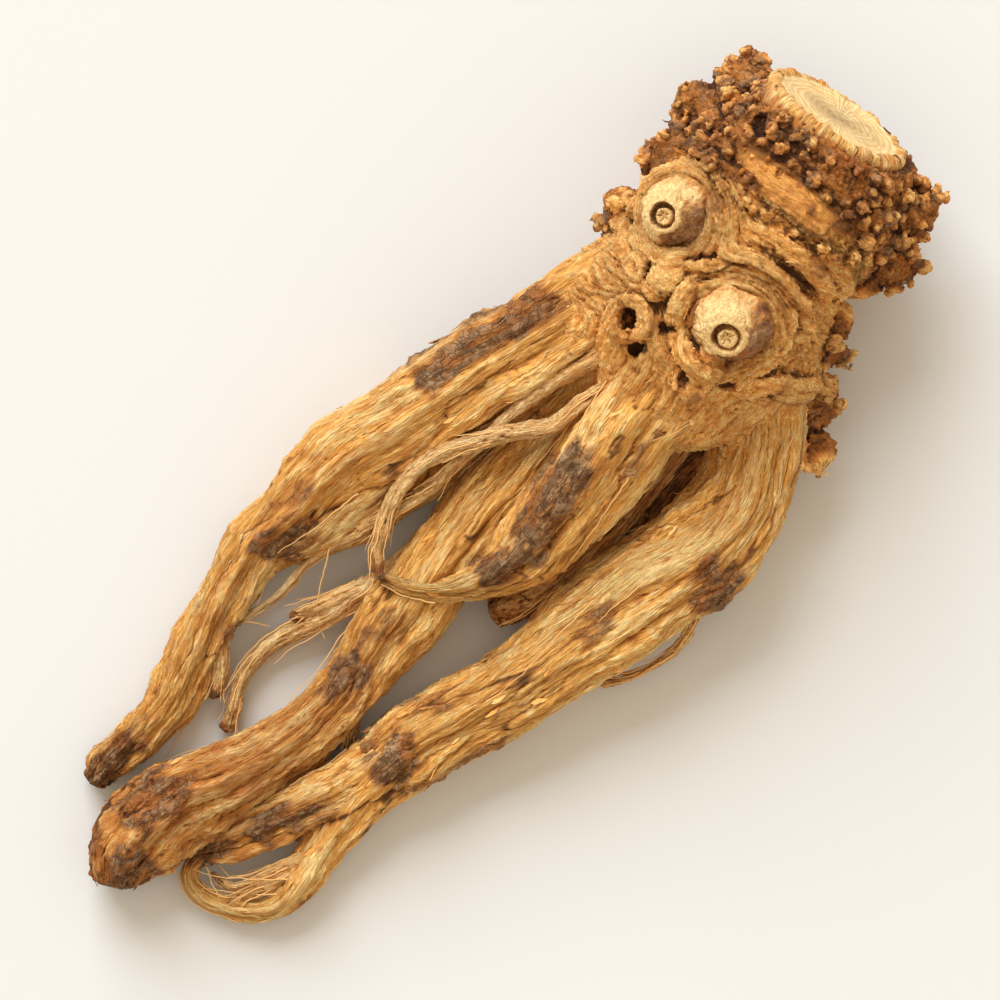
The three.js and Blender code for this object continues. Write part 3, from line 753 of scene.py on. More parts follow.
def skin_of(field):
    """Points and quads of the surface where the field is zero, one point for each cell that it crosses."""
    inside = field.far < 0
    corners = np.array(list(np.ndindex(2, 2, 2)))
    size = np.array(field.shape) - 1
    count = np.zeros(size, int)
    for dx, dy, dz in corners:
        count += inside[dx : dx + size[0], dy : dy + size[1], dz : dz + size[2]]
    crossed = (count > 0) & (count < 8)
    number = np.full(size, -1)
    where = np.argwhere(crossed)
    number[crossed] = np.arange(len(where))
    values = np.stack([field.far[tuple((where + corner).T)] for corner in corners])
    total = np.zeros((len(where), 3))
    hits = np.zeros(len(where))
    for a in range(8):
        for b in range(a + 1, 8):
            if np.abs(corners[a] - corners[b]).sum() != 1:
                continue
            meets = (values[a] < 0) != (values[b] < 0)
            gap = np.where(meets, values[a] - values[b], 1)
            share = np.where(meets, values[a] / gap, 0)[:, None]
            total += np.where(meets[:, None], corners[a] + share * (corners[b] - corners[a]), 0)
            hits += meets
    points = field.low + (where + total / hits[:, None]) * field.voxel
    quads = []
    for axis in range(3):
        one, two = (axis + 1) % 3, (axis + 2) % 3
        step = np.zeros(3, int)
        step[axis] = 1
        first = inside[tuple(slice(0, n - d) for n, d in zip(field.shape, step))]
        second = inside[tuple(slice(d, None) for d in step)]
        edges = np.argwhere(first != second)
        edges = edges[(edges[:, one] > 0) & (edges[:, two] > 0)]
        edges = edges[(edges[:, one] < size[one]) & (edges[:, two] < size[two])]
        leaving = inside[tuple(edges.T)]
        around = []
        for back_one, back_two in ((0, 0), (1, 0), (1, 1), (0, 1)):
            cell = edges.copy()
            cell[:, one] -= back_one
            cell[:, two] -= back_two
            around.append(number[tuple(cell.T)])
        around = np.column_stack(around)
        quads.append(np.where(leaving[:, None], around, around[:, ::-1]))
    return points, np.vstack(quads)


def point_normals(points, quads):
    """Outward direction at each point, from the faces round it."""
    cross = np.cross(points[quads[:, 2]] - points[quads[:, 0]], points[quads[:, 3]] - points[quads[:, 1]])
    normals = np.zeros_like(points)
    for k in range(4):
        for axis in range(3):
            normals[:, axis] += np.bincount(quads[:, k], cross[:, axis], len(points))
    return normals / np.maximum(np.linalg.norm(normals, axis=1, keepdims=True), 1e-12)


def nearest_on_path(points, rows, steps=60):
    """For each point, how far along a path its nearest place is, its angle round it, and its distance."""
    path = Path(rows)
    centre, forward, side, top, _, _ = path.at(np.linspace(0, 1, steps))
    best = np.full(len(points), np.inf)
    nearest = np.zeros(len(points), int)
    for i in range(steps):
        gap = np.linalg.norm(points - centre[i], axis=1)
        closer = gap < best
        best[closer] = gap[closer]
        nearest[closer] = i
    away = points - centre[nearest]
    along = nearest / (steps - 1) * path.length + np.einsum("ij,ij->i", away, forward[nearest])
    angle = np.arctan2(np.einsum("ij,ij->i", away, side[nearest]), np.einsum("ij,ij->i", away, top[nearest]))
    return along, angle, best


def crown_grain(points, normals):
    """Grain coordinates on the crown, lengthwise near the roots and round the neck and each cone, and the
    direction of the fibres."""
    along, angle, _ = nearest_on_path(points, CROWN)
    lift = rise(along + 3 * noise(points / 6, 26), 6, 17)[:, None]
    lengthwise = np.column_stack([12 * np.cos(angle), 12 * np.sin(angle), along])
    ringwise = np.column_stack([along, 0.15 * points[:, 2], 12 * np.sin(angle) + 0.5 * points[:, 2]])
    grain = lengthwise * (1 - lift) + ringwise * lift
    spine = np.array([0.6, 0.8, 0.1])
    flow = spine * (1 - lift) + np.cross(normals, spine) * lift
    for foot, tip, radius, _ in CONES:
        _, radial, _ = along_axis(points, foot, tip)
        near = np.exp(-((radial / (1.35 * radius)) ** 4))[:, None]
        rings = np.column_stack([1.3 * radial, 0.1 * points[:, 0], 0.6 * points[:, 0] + 0.6 * points[:, 1]])
        grain = grain * (1 - near) + rings * near
        flow = flow * (1 - near) + np.cross(normals, np.array(tip) - np.array(foot)) / 8 * near
    along, angle, gap = nearest_on_path(points, NECK_BAND)
    near = rise(-gap, -3.2, -2.4)[:, None]
    grain = grain * (1 - near) + np.column_stack([2.2 * np.cos(angle), 2.2 * np.sin(angle), along]) * near
    return grain, flow


def knobbly_cover(points):
    """1 on the collar and the other parts that are crowded with knobs."""
    below = -(points - DISC_CENTRE) @ STEM_AXIS
    along, _, _ = nearest_on_path(points, COLLAR)
    cover = rise(along, 1.6, 3.2) * rise(below, 0.2, 1.2) * rise(-below, -14, -12)
    for centre, reach, _, _ in KNOBBLY:
        gap = np.linalg.norm(points - np.array(centre), axis=1)
        cover = np.maximum(cover, rise(reach + 1.2 * noise(points / 2.5, 20) - gap, -0.5, 1.2))
    return cover


def crown_skin():
    """The crown's skin with its bark and its knobs."""
    field, body = crown_field()
    points, quads = skin_of(field)
    normals = point_normals(points, quads)
    grain, flow = crown_grain(points, normals)
    knobbly = knobbly_cover(points)
    _, _, band_gap = nearest_on_path(points, NECK_BAND)
    band = rise(-band_gap + 0.3 * noise(points / 1.6, 81), -2.9, -2.0) * rise(points[:, 2], 17, 20)
    height, hollow, pale = bark_relief(points, grain, 0.75, 0.15 + 0.75 * knobbly * (1 - band))
    flakes = noise(points / 1.5, 21) + 0.6 * noise(points / 0.75, 22)
    plates = noise(np.column_stack([points[:, :2] / 1.3, points[:, 2] / 0.9]) + 0.8 * flakes[:, None], 29)
    calm = 1 - 0.45 * band
    swirl = np.column_stack([noise(points / 3.6, 73), noise(points / 3.6, 74), noise(points / 3.6, 75)])
    folded = billow(noise(stretched(grain + 1.1 * swirl, 1.3, 9) + 0.2 * flakes[:, None], 70))
    finer = billow(noise(stretched(grain + 1.1 * swirl, 0.62, 4.2) + 0.2 * flakes[:, None], 71))
    bare = (1 - knobbly) * calm
    scaly = (0.07 + 0.08 * knobbly) * flakes + 0.12 * rise(plates, -0.04, 0.08)
    height = height * (1 - 0.45 * knobbly) * (1 - 0.2 * band) + calm * scaly
    height -= bare * (0.55 * folded + 0.3 * finer)
    height += knobbly * (0.25 * noise(points / 0.9, 50) + 0.16 * noise(points / 0.5, 51))
    tight = field.openness(points, 0.7)
    loose = field.openness(points, 1.8)
    stand = body.at(points + 0.11 * normals)
    # Painted shade: deep darkens the crevices that openness finds closed in, between knobs, folds and lumps.
    deep = rise(-tight - 0.8 * loose, 0.0, 0.4)
    tip = rise(stand, 0.5, 1.5) * knobbly
    # Painted shade in the folds' low parts and at the plates' edges, added to the bark's own valleys.
    hollow = (0.6 * hollow + 0.28 * crease(plates, 0.07)) * (1 - 0.5 * knobbly) * calm
    hollow += bare * (0.45 * rise(folded, 0.05, 0.4) + 0.2 * rise(finer, 0.05, 0.4))
    # Painted shade at the feet of the knobs, where they stand low over the crown's body.
    painted_shade_under_knobs = (1.0 + 0.5 * flakes) * knobbly * (1 - rise(stand, -0.3, 0.5)) * (1 - band)
    hollow = np.clip(hollow + 1.2 * deep * (1 - 0.6 * band) + painted_shade_under_knobs, 0, 1)
    # Painted shade in the creases round the cones' feet and round the broken tubes.
    for foot, way, radius, _ in CONES:
        _, radial, _ = along_axis(points, foot, way)
        ring = crease(radial - radius - 0.4 * flakes, 0.4) * rise(noise(points / 2.4, 72), -0.3, 0.4)
        hollow = np.maximum(hollow, 0.7 * ring)
    for foot, way, radius, _ in BROKEN_TUBES:
        along, radial, length = along_axis(points, foot, way)
        ring = 0.8 * crease(radial - radius - 0.3, 0.4) * rise(length - along, 0.8, 1.6) * (along > 0)
        hollow = np.maximum(hollow, ring)
    crest = 0.6 * crease(folded + 0.4, 0.14) + 0.4 * crease(finer + 0.4, 0.16)
    worn_knobs = (0.42 * rise(tight, 0.05, 0.3) + 0.22 * tip) * knobbly
    pale = 0.15 * bare + 0.5 * pale * bare + bare * crest + worn_knobs + 0.12 * flakes
    pale = np.clip(pale * (1 - 0.7 * band) + 0.25 * band, 0, 1)
    crusty = rise(noise(points / 3.4, 23) + 0.35 * flakes, -0.3, 0.5)
    lump_bark = knobbly * (0.6 + 0.4 * crusty) - 0.4 * tip - 0.3 * rise(tight, 0.1, 0.35) * knobbly
    worn = 0.5 * rise(noise(points / 4.5, 27) + 0.3 * flakes, 0.3, 0.75)
    points = rest_on_table(points + normals * height[:, None])
    stain = np.clip(0.05 + 0.35 * rise(noise(points / 5, 28), -0.2, 0.5) + 0.2 * knobbly, 0, 1)
    values = {
        "grain": grain,
        "hollow": hollow,
        "patch": np.clip(np.maximum(lump_bark, worn) - band, 0, 1),
        "pale": pale,
        "stain": stain * (1 - band) + 0.3 * band,
        "flow": flow,
        "knobbly": np.clip(0.8 * knobbly + 0.04 - 0.9 * band, 0, 1) * rise(points[:, 2], 0.5, 2),
    }
    return points, quads, values


# The cut stem and the cones, turned about their axes on fine grids

def turned_grid(profile, spacing, around, foot, direction):
    """A turned shape on a fine grid, as numbers and directions for each of its points.

    They are its rings, radius, distance along, angle, base points and outward directions.
    """
    profile = np.array(profile, float)
    steps = np.concatenate([[0], np.cumsum(np.linalg.norm(np.diff(profile, axis=0), axis=1))])
    spots = np.linspace(0, steps[-1], int(steps[-1] / spacing) + 2)
    radius = np.interp(spots, steps, profile[:, 0])
    along = np.interp(spots, steps, profile[:, 1])
    slope = np.column_stack([np.gradient(radius), np.gradient(along)])
    slope /= np.linalg.norm(slope, axis=1, keepdims=True)
    rings = len(spots)
    angle = np.tile(2 * math.pi * np.arange(around) / around, rings)
    radius, along = np.repeat(radius, around), np.repeat(along, around)
    slope = np.repeat(slope, around, axis=0)
    across, over = spokes_of(direction)
    spoke = across * np.cos(angle)[:, None] + over * np.sin(angle)[:, None]
    outward = spoke * slope[:, 1:] * -1 + direction * slope[:, :1]
    wobble = 1 + 0.025 * np.sin(2 * angle + 1) + 0.03 * noise(spoke * 1.3 + np.array(foot), 30)
    base = np.array(foot, float) + spoke * (radius * wobble)[:, None] + direction * along[:, None]
    return rings, radius * wobble, along, angle, base, outward


def stem_stub():
    """The cut stem: a face with faint growth rings, inside a rim of upright bark ribs."""
    r = DISC_RADIUS
    profile = [
        [0.05, -0.55],
        [r * 0.25, -0.45],
        [r * 0.5, -0.15],
        [r * 0.66, -0.4],
        [r * 0.84, -0.15],
        [r * 0.9, 0.0],
        [r * 0.96, -0.1],
        [r * 1.0, -0.6],
        [r * 1.02, -2.2],
        [r * 0.96, -3.4],
        [r * 0.86, -5.5],
    ]
    around = 300
    rings, radius, along, angle, base, outward = turned_grid(profile, 0.2, around, DISC_CENTRE, STEM_AXIS)
    flat = np.column_stack([radius * np.cos(angle), radius * np.sin(angle), along])
    edge = 0.88 * r + 0.35 * noise(flat / [1.2, 1.2, 40], 46)
    on_face = rise(edge - radius, -0.1, 0.25) * rise(along, -1.2, -0.7)
    turns = radius + 0.35 * noise(flat / 3.5, 31) + 0.12 * noise(flat / 1.2, 32)
    spokes = noise(np.column_stack([14 * np.cos(angle), 14 * np.sin(angle), radius / 4]), 33)
    face_height = 0.025 * np.sin(turns * 8.5) + 0.02 * spokes
    face_height = face_height + 0.14 * noise(flat / 3.2, 34) + 0.03 * noise(flat / 0.7, 35)
    face_height *= rise(radius, 0.2, 1.5)
    around_way = np.column_stack([r * np.cos(angle), r * np.sin(angle), along / 6])
    ribs = noise(around_way / 0.62, 36)
    broad = noise(around_way / 2.4, 37)
    chips = noise(flat / 0.8, 38)
    rib_height = 0.34 * billow(ribs) + 0.4 * broad + 0.26 * chips + 0.1
    height = face_height * on_face + rib_height * (1 - on_face)
    grain = np.column_stack([r * np.cos(angle), r * np.sin(angle), along])
    # Painted shade between the rim's ribs and in the seam between the face and the rim.
    seam = crease(radius - edge + 0.25, 0.22) * rise(along, -1.0, -0.6)
    hollow = (0.8 * crease(ribs, 0.1) + 0.25 * crease(broad, 0.1)) * (1 - on_face) + 0.35 * seam
    quads, triangles = ring_faces(rings, around)
    ends = DISC_CENTRE + np.outer([-0.55, -5.5], STEM_AXIS)
    values = {
        "grain": np.vstack([grain, grain[[0, -1]]]),
        "hollow": np.append(np.clip(hollow, 0, 1), [0.3, 0]),
        "patch": np.append(0.6 * rise(-along + 0.8 * broad, 1.8, 3.4), [0, 0]),
        "pale": np.append(np.clip(0.5 + ribs, 0, 1), [0, 0]),
        "stain": np.append(0.4 + 0.5 * rise(-along, 0.5, 1.6) + 0.3 * broad, [0, 0]),
        "face": np.append(on_face, [1, 0]),
        "turns": np.append(turns, [0, 0]),
    }
    return np.vstack([base + outward * height[:, None], ends]), quads, triangles, values


def cone_skin(foot, tip, radius, tip_radius, phase):
    """A cone where a side shoot came off, with flaky rings at its foot and a round scar in its tip."""
    foot, tip = np.array(foot, float), np.array(tip, float)
    length = np.linalg.norm(tip - foot)
    direction = (tip - foot) / length
    profile = [
        [0.05, length * 0.93],
        [tip_radius * 0.22, length * 0.9],
        [tip_radius * 0.36, length * 0.96],
        [tip_radius * 0.56, length * 0.97],
        [tip_radius * 0.66, length * 0.87],
        [tip_radius * 0.78, length * 0.88],
        [tip_radius * 0.94, length * 0.99],
        [tip_radius * 1.16, length * 0.97],
        [tip_radius * 1.55, length * 0.87],
        [radius * 0.62, length * 0.68],
        [radius * 0.76, length * 0.5],
        [radius * 0.88, length * 0.32],
        [radius * 0.94, length * 0.1],
        [radius * 0.95, -1.5],
    ]
    around = 160
    rings, wide, along, angle, base, outward = turned_grid(profile, 0.19, around, foot, direction)
    flat = np.column_stack([wide * np.cos(angle), wide * np.sin(angle), along]) + 30 * phase
    foot_share = rise(-along, -length * 0.62, -length * 0.25)
    cap = rise(tip_radius * 1.25 - wide, -0.2, 0.4) * rise(along, length * 0.75, length * 0.85)
    grain = np.column_stack([wide * np.cos(angle) + 30 * phase, wide * np.sin(angle), 1.6 * along])
    height, hollow, pale = bark_relief(base, grain, 0.3, 0.1)
    slant = along + 0.6 * noise(flat / 2.4, 40) + 0.3 * np.sin(2 * angle + phase)
    ring_lines = noise(np.column_stack([slant / 0.75, 0.2 * flat[:, 0], 0.2 * flat[:, 1]]), 41)
    height = height + 0.34 * noise(flat / 2.6, 42) + 0.1 * noise(flat / 0.9, 52)
    height = height + 0.34 * billow(ring_lines) * (0.1 + foot_share)
    star = crease(np.sin(2.5 * angle + 0.8 * noise(flat, 43)), 0.35) * rise(tip_radius * 0.5 - wide, -0.1, 0.3)
    height = height * (1 - 0.6 * cap) - 0.15 * star * cap
    groove = crease(wide - tip_radius * 0.71, 0.3) * rise(along, length * 0.7, length * 0.8)
    # Painted shade in the ring lines' creases, the groove round the scar and the star's cracks, through hollow.
    hollow = 0.6 * hollow + 0.5 * crease(ring_lines, 0.1) * (0.1 + foot_share)
    across, over = spokes_of(direction)
    # lit is larger on the cone's side turned away from the light, to the lower right on the plan.
    lit = (across[0] - across[1]) * np.cos(angle) + (over[0] - over[1]) * np.sin(angle)
    height -= 0.35 * groove * rise(-lit, -0.6, 0.9)
    hollow = np.clip(np.maximum(hollow, groove) + 0.6 * star * cap, 0, 1)
    # Painted shade: the side away from the light, with a ragged edge, is made grey-brown, less pale and more
    # stained.
    shaded = rise(lit + 0.7 * noise(flat / 2.2, 44), 0.0, 0.9) * (1 - cap)
    quads, triangles = ring_faces(rings, around)
    ends = np.vstack([foot + direction * length * 0.93, foot - direction * 1.5])
    # patch holds the foot's outer bark and the painted shade on the side away from the light; pale and stain carry
    # that painted shade too.
    patch = np.clip(0.2 * foot_share * rise(noise(flat / 2, 45), -0.3, 0.5) + 0.7 * shaded, 0, 1)
    values = {
        "grain": np.vstack([grain, grain[[0, -1]]]),
        "hollow": np.append(hollow, [0.8, 0]),
        "patch": np.append(patch, [0, 0]),
        "pale": np.append(np.clip(0.35 * pale + 0.75 - 0.5 * foot_share - 0.3 * shaded, 0, 1), [0.2, 0]),
        "stain": np.append(np.clip(0.3 * foot_share + 0.4 * shaded, 0, 1), [0, 0]),
    }
    return rest_on_table(np.vstack([base + outward * height[:, None], ends])), quads, triangles, values


# Shader groups and materials

# Height in metres of the bark's finest relief, which only the shader makes.
BUMP_DISTANCE = 0.00055


def socket(group, name, kind, way="INPUT", value=None):
    """Adds a named input or output to a group, with its default."""
    made = group.interface.new_socket(name=name, in_out=way, socket_type=kind)
    if value is not None:
        made.default_value = value


class Value:
    """A number in a node tree, to be reckoned with as plain numbers are."""

    def __init__(self, wiring, output):
        self.wiring, self.output = wiring, output

    def __add__(self, other):
        return self.wiring.math("ADD", self, other)

    def __sub__(self, other):
        return self.wiring.math("SUBTRACT", self, other)

    def __rsub__(self, other):
        return self.wiring.math("SUBTRACT", other, self)

    def __mul__(self, other):
        return self.wiring.math("MULTIPLY", self, other)

    def __truediv__(self, other):
        return self.wiring.math("DIVIDE", self, other)


class Wiring:
    """Short ways to add and link nodes in one tree."""

    def __init__(self, tree):
        self.tree = tree

    def node(self, kind, sources=None, **settings):
        """Adds a node with its settings, and fills its inputs, which sources gives by name or number."""
        made = self.tree.nodes.new(kind)
        for key, value in settings.items():
            setattr(made, key, value)
        self.fill(made, sources or {})
        return made

    def fill(self, node, sources):
        for key, value in sources.items():
            self.put(node.inputs[key], value)

    def put(self, target, value):
        """Sets an input to a value, or links it to an output or to a node's first output."""
        if isinstance(value, bpy.types.Node):
            value = value.outputs[0]
        if isinstance(value, Value):
            value = value.output
        if isinstance(value, bpy.types.NodeSocket):
            self.tree.links.new(value, target)
        else:
            target.default_value = value

    def math(self, operation, a, b=0.0, clamp=False):
        made = self.node("ShaderNodeMath", {0: a, 1: b}, operation=operation, use_clamp=clamp)
        return Value(self, made.outputs[0])

    def ramp(self, value, low, high):
        """0 below low and 1 above high."""
        sources = {"Value": value, "From Min": low, "From Max": high}
        made = self.node("ShaderNodeMapRange", sources, interpolation_type="SMOOTHSTEP")
        return Value(self, made.outputs["Result"])

    def mix(self, share, a, b):
        return self.node("ShaderNodeMix", {"Factor": share, 6: a, 7: b}, data_type="RGBA").outputs[2]

    def noise(self, vector, scale, detail=3.0, roughness=0.55, distortion=0.0):
        sources = {"Vector": vector, "Scale": scale, "Detail": detail}
        sources.update({"Roughness": roughness, "Distortion": distortion})
        return Value(self, self.node("ShaderNodeTexNoise", sources).outputs["Fac"])

    def kept(self, name):
        """A number kept at the points of the mesh."""
        return Value(self, self.node("ShaderNodeAttribute", attribute_name=name).outputs["Fac"])


def colour(values):
    """An RGBA tuple from three display values, as a shader wants it."""
    linear = [((v + 0.055) / 1.055) ** 2.4 if v > 0.04045 else v / 12.92 for v in values]
    return (*linear, 1.0)


def bark_group():
    """Colour, roughness and height of dry fibrous bark, from the values kept in the mesh."""
    group = bpy.data.node_groups.new("Dry fibrous bark", "ShaderNodeTree")
    for name in ("Gold", "Straw", "Brown", "Rust", "Outer Bark", "Lichen", "Crevice"):
        socket(group, name, "NodeSocketColor", value=(0.5, 0.3, 0.1, 1))
    sizes = {"Fibre Width": 0.3, "Fibre Length": 4.0, "Paleness": 0.5, "Flakiness": 0.1}
    for name, value in sizes.items():
        socket(group, name, "NodeSocketFloat", value=value)
    for name, kind in {"Colour": "Color", "Roughness": "Float", "Height": "Float"}.items():
        socket(group, name, "NodeSocket" + kind, "OUTPUT")
    w = Wiring(group)
    inputs = w.node("NodeGroupInput").outputs
    outputs = w.node("NodeGroupOutput").inputs
    width, length, paleness, flakiness = (Value(w, inputs[name]) for name in sizes)
    hollow, patch, pale, stain = (w.kept(name) for name in ("hollow", "patch", "pale", "stain"))
    grain = w.node("ShaderNodeAttribute", attribute_name="grain").outputs["Vector"]
    parts = [Value(w, part) for part in w.node("ShaderNodeSeparateXYZ", {0: grain}).outputs]
    spot = w.node("ShaderNodeTexCoord").outputs["Object"]

    def fibres(wide, long, detail):
        """Noise drawn out along the grain, with features a number of times the fibre's width and length."""
        across, along = width * wide, length * long
        place = {0: parts[0] / across, 1: parts[1] / across, 2: parts[2] / along}
        return w.noise(w.node("ShaderNodeCombineXYZ", place), 1.0, detail, 0.6, 0.4)

    def valley(value):
        """Distance of a noise from its middle, which is 0 along thin winding lines."""
        return w.math("ABSOLUTE", value - 0.5)

    def lines(value, reach):
        """1 along the lines where a noise passes its middle."""
        return 1.0 - w.ramp(valley(value), 0.0, reach)

    thin = fibres(1.0, 1.0, 2.0)
    thick = fibres(2.2, 1.6, 3.0)
    bands = fibres(9.0, 3.0, 3.0)
    nicks = fibres(3.0, 0.13, 2.0)
    blotch = w.noise(spot, 160.0, 4.0, 0.6)
    cloud = w.noise(spot, 55.0, 2.0, 0.5)
    grit = w.noise(spot, 1300.0, 2.0, 0.6)

    lightness = thick * 0.55 + bands * 0.45 + (pale - 0.4) * paleness
    lightness = lightness + ((cloud - 0.5) * 0.7 + (nicks - 0.5) * 0.12)
    base = w.mix(w.ramp(lightness, 0.25, 0.9), inputs["Gold"], inputs["Straw"])
    browned = stain + w.ramp(blotch + (thick - 0.5) * 0.6, 0.58, 0.8) * 0.4
    browned = w.math("ADD", browned, (bands - 0.5) * 0.35 + (cloud - 0.5) * 0.5, clamp=True)
    browned = browned * (1.1 - pale * 0.7)
    base = w.mix(browned * 0.85, base, inputs["Brown"])
    base = w.mix(lines(thick, 0.045) * 0.55, base, inputs["Brown"])
    base = w.mix(lines(thin, 0.035) * 0.5, base, inputs["Crevice"])

    base = w.mix(w.ramp(stain + (thick - 0.5) * 1.1, 0.4, 1.0) * 0.55, base, inputs["Rust"])
    ragged = patch + ((thick - 0.5) * 0.55 + (blotch - 0.5) * 0.7)
    cracks = lines(w.noise(spot, 620.0, 3.0, 0.6), 0.035)
    flakes = lines(w.noise(spot, 900.0, 2.0, 0.5), 0.05) * flakiness
    base = w.mix(flakes, base, inputs["Brown"])
    scab = w.noise(spot, 430.0, 3.0, 0.6) + ((grit - 0.5) * 0.5 + (thick - 0.5) * 0.5)
    outer = w.mix(w.ramp(scab, 0.4, 0.66), inputs["Outer Bark"], inputs["Lichen"])
    outer = w.mix(w.ramp(blotch, 0.5, 0.62) * 0.7, outer, inputs["Rust"])
    outer = w.mix(cracks * 0.6, outer, inputs["Crevice"])
    base = w.mix(w.ramp(ragged, 0.15, 0.55) * 0.6, base, inputs["Rust"])
    base = w.mix(w.ramp(ragged, 0.42, 0.75) * 0.8, base, outer)

    # Painted shade: hollow darkens furrows, crevices and shadowed roots to brown and then to the crevice colour.
    deep = hollow + (thin - 0.5) * 0.5
    base = w.mix(w.ramp(deep, 0.15, 0.65) * 0.6, base, inputs["Brown"])
    base = w.mix(w.ramp(deep, 0.45, 1.1) * 0.95, base, inputs["Crevice"])
    w.put(outputs["Colour"], base)
    w.put(outputs["Roughness"], thin * 0.2 + 0.66 + patch * 0.14)

    height = valley(thin) + valley(thick) * 1.5 + (nicks * 0.2 + grit * 0.3)
    w.put(outputs["Height"], height - flakes * 0.3 - cracks * w.ramp(ragged, 0.3, 0.6) * 0.3)
    return group


def new_material(name):
    """A material with nodes, the wiring of its tree and its shader."""
    material = bpy.data.materials.new(name)
    material.use_nodes = True
    return material, Wiring(material.node_tree), material.node_tree.nodes["Principled BSDF"]


def bark_material(name, tones, width, length, paleness, flakiness=0.08, bump_strength=1.0):
    """A bark material from the shared group, with its own colours and sizes."""
    group = bpy.data.node_groups.get("Dry fibrous bark") or bark_group()
    material, w, shader = new_material(name)
    sources = {key: colour(tone) for key, tone in tones.items()}
    sources.update({"Fibre Width": width, "Fibre Length": length, "Paleness": paleness, "Flakiness": flakiness})
    bark = w.node("ShaderNodeGroup", sources, node_tree=group)
    relief = {"Strength": bump_strength, "Distance": BUMP_DISTANCE, "Height": bark.outputs["Height"]}
    w.fill(shader, {
        "Normal": w.node("ShaderNodeBump", relief),
        "Base Color": bark.outputs["Colour"],
        "Roughness": bark.outputs["Roughness"],
        "Specular IOR Level": 0.3,
    })
    return material, w, shader, bark


def bark_tones(**changed):
    """The bark's colours from the settings, some of them swapped for others."""
    settings = bpy.context.scene.angelica_root
    names = ("gold", "straw", "brown", "rust", "outer_bark", "lichen", "crevice")
    return {**{name.replace("_", " ").title(): getattr(settings, name) for name in names}, **changed}


def named_material(name):
    """The bark of the named part, made the first time that it is asked for."""
    settings = bpy.context.scene.angelica_root
    looks = {
        "Wrinkled root bark": (bark_tones(), 0.18, 4.4, 0.9, 0.12),
        "Rootlet bark": (bark_tones(Gold=settings.rootlet_tan, Straw=settings.rootlet_straw), 0.2, 3.0, 0.5),
        "Cone scar": (bark_tones(Gold=settings.cone_tan, Straw=settings.cone_cream), 0.26, 2.2, 0.7, 0.1, 0.45),
        "Crown bark": (bark_tones(Gold=settings.crown_tan, Straw=settings.crown_straw), 0.2, 3.0, 0.85, 0.3, 0.85),
    }
    return bpy.data.materials.get(name) or bark_material(name, *looks[name])[0]


def stem_material():
    """The cut stem: pale wood with growth rings on the face, bark on the rim."""
    settings = bpy.context.scene.angelica_root
    material, w, shader, bark = bark_material("Cut stem", bark_tones(), 0.3, 2.5, 0.6)
    spot = w.node("ShaderNodeTexCoord").outputs["Object"]
    blotch = w.noise(spot, 380.0, 4.0, 0.6)
    fleck = w.noise(spot, 1100.0, 3.0, 0.6)
    wave = w.math("SINE", w.kept("turns") * 7.2 + blotch * 6.0)
    tan = colour(settings.wood_tan)
    wood = w.mix(w.ramp(wave, -0.4, 1.0) * 0.65, colour(settings.wood_cream), tan)
    wood = w.mix(w.ramp(blotch, 0.52, 0.8) * 0.5, wood, tan)
    wood = w.mix(w.ramp(fleck, 0.6, 0.8) * 0.15, wood, colour(settings.brown))
    w.put(shader.inputs["Base Color"], w.mix(w.kept("face"), bark.outputs["Colour"], wood))
    return material


# Geometry node trees

SOCKET_KINDS = {float: "NodeSocketFloat", int: "NodeSocketInt", type(None): "NodeSocketMaterial"}


def tree_with(name, **inputs):
    """An empty geometry tree with a geometry input and output and the named inputs."""
    tree = bpy.data.node_groups.new(name, "GeometryNodeTree")
    socket(tree, "Geometry", "NodeSocketGeometry")
    for key, value in inputs.items():
        socket(tree, key, SOCKET_KINDS[type(value)], value=value)
    socket(tree, "Geometry", "NodeSocketGeometry", "OUTPUT")
    w = Wiring(tree)
    return tree, w, w.node("NodeGroupInput").outputs


def finish_tree(w, geometry, inputs):
    """Ends a tree: real meshes with the material that is put in."""
    real = w.node("GeometryNodeRealizeInstances", {0: geometry})
    paint = w.node("GeometryNodeSetMaterial", {"Geometry": real, "Material": inputs["Material"]})
    w.put(w.node("NodeGroupOutput").inputs["Geometry"], paint)


def random_value(w, sources, inputs, kind="FLOAT"):
    """A node with a seeded number or vector for each point."""
    return w.node("FunctionNodeRandomValue", {**sources, "Seed": inputs["Seed"]}, data_type=kind)


def scattered(w, spots, shape, turn, size, scale, reach):
    """Copies of a shape at the spots, turned and sized, then made crooked by noise."""
    copies = {"Points": spots, "Instance": shape, "Rotation": turn, "Scale": size.outputs[1]}
    copies = w.node("GeometryNodeInstanceOnPoints", copies)
    real = w.node("GeometryNodeRealizeInstances", {0: copies})
    return w.node("GeometryNodeSetPosition", {"Geometry": real, "Offset": jitter(w, scale, reach)})


def run_tree(name, tree, host_mesh, values):
    """Runs a tree on a mesh or curve and returns the result as a plain mesh."""
    host = bpy.data.objects.new(name + "_host", host_mesh)
    bpy.context.collection.objects.link(host)
    modifier = host.modifiers.new("Nodes", "NODES")
    modifier.node_group = tree
    for item in tree.interface.items_tree:
        if item.in_out == "INPUT" and item.name in values:
            modifier[item.identifier] = values[item.name]
    made = settled(host)
    made.name = name
    if not len(made.vertices):
        raise RuntimeError(f"{name} came out empty")
    return made


def settled(host):
    """A host's evaluated mesh as a plain one, with what reaches below the table pressed flat on it."""
    graph = bpy.context.evaluated_depsgraph_get()
    mesh = bpy.data.meshes.new_from_object(host.evaluated_get(graph), depsgraph=graph)
    bpy.data.objects.remove(host)
    points = np.empty(3 * len(mesh.vertices), np.float32)
    mesh.vertices.foreach_get("co", points)
    points[2::3] = np.maximum(points[2::3], TABLE_HEIGHT)
    mesh.vertices.foreach_set("co", points)
    return mesh


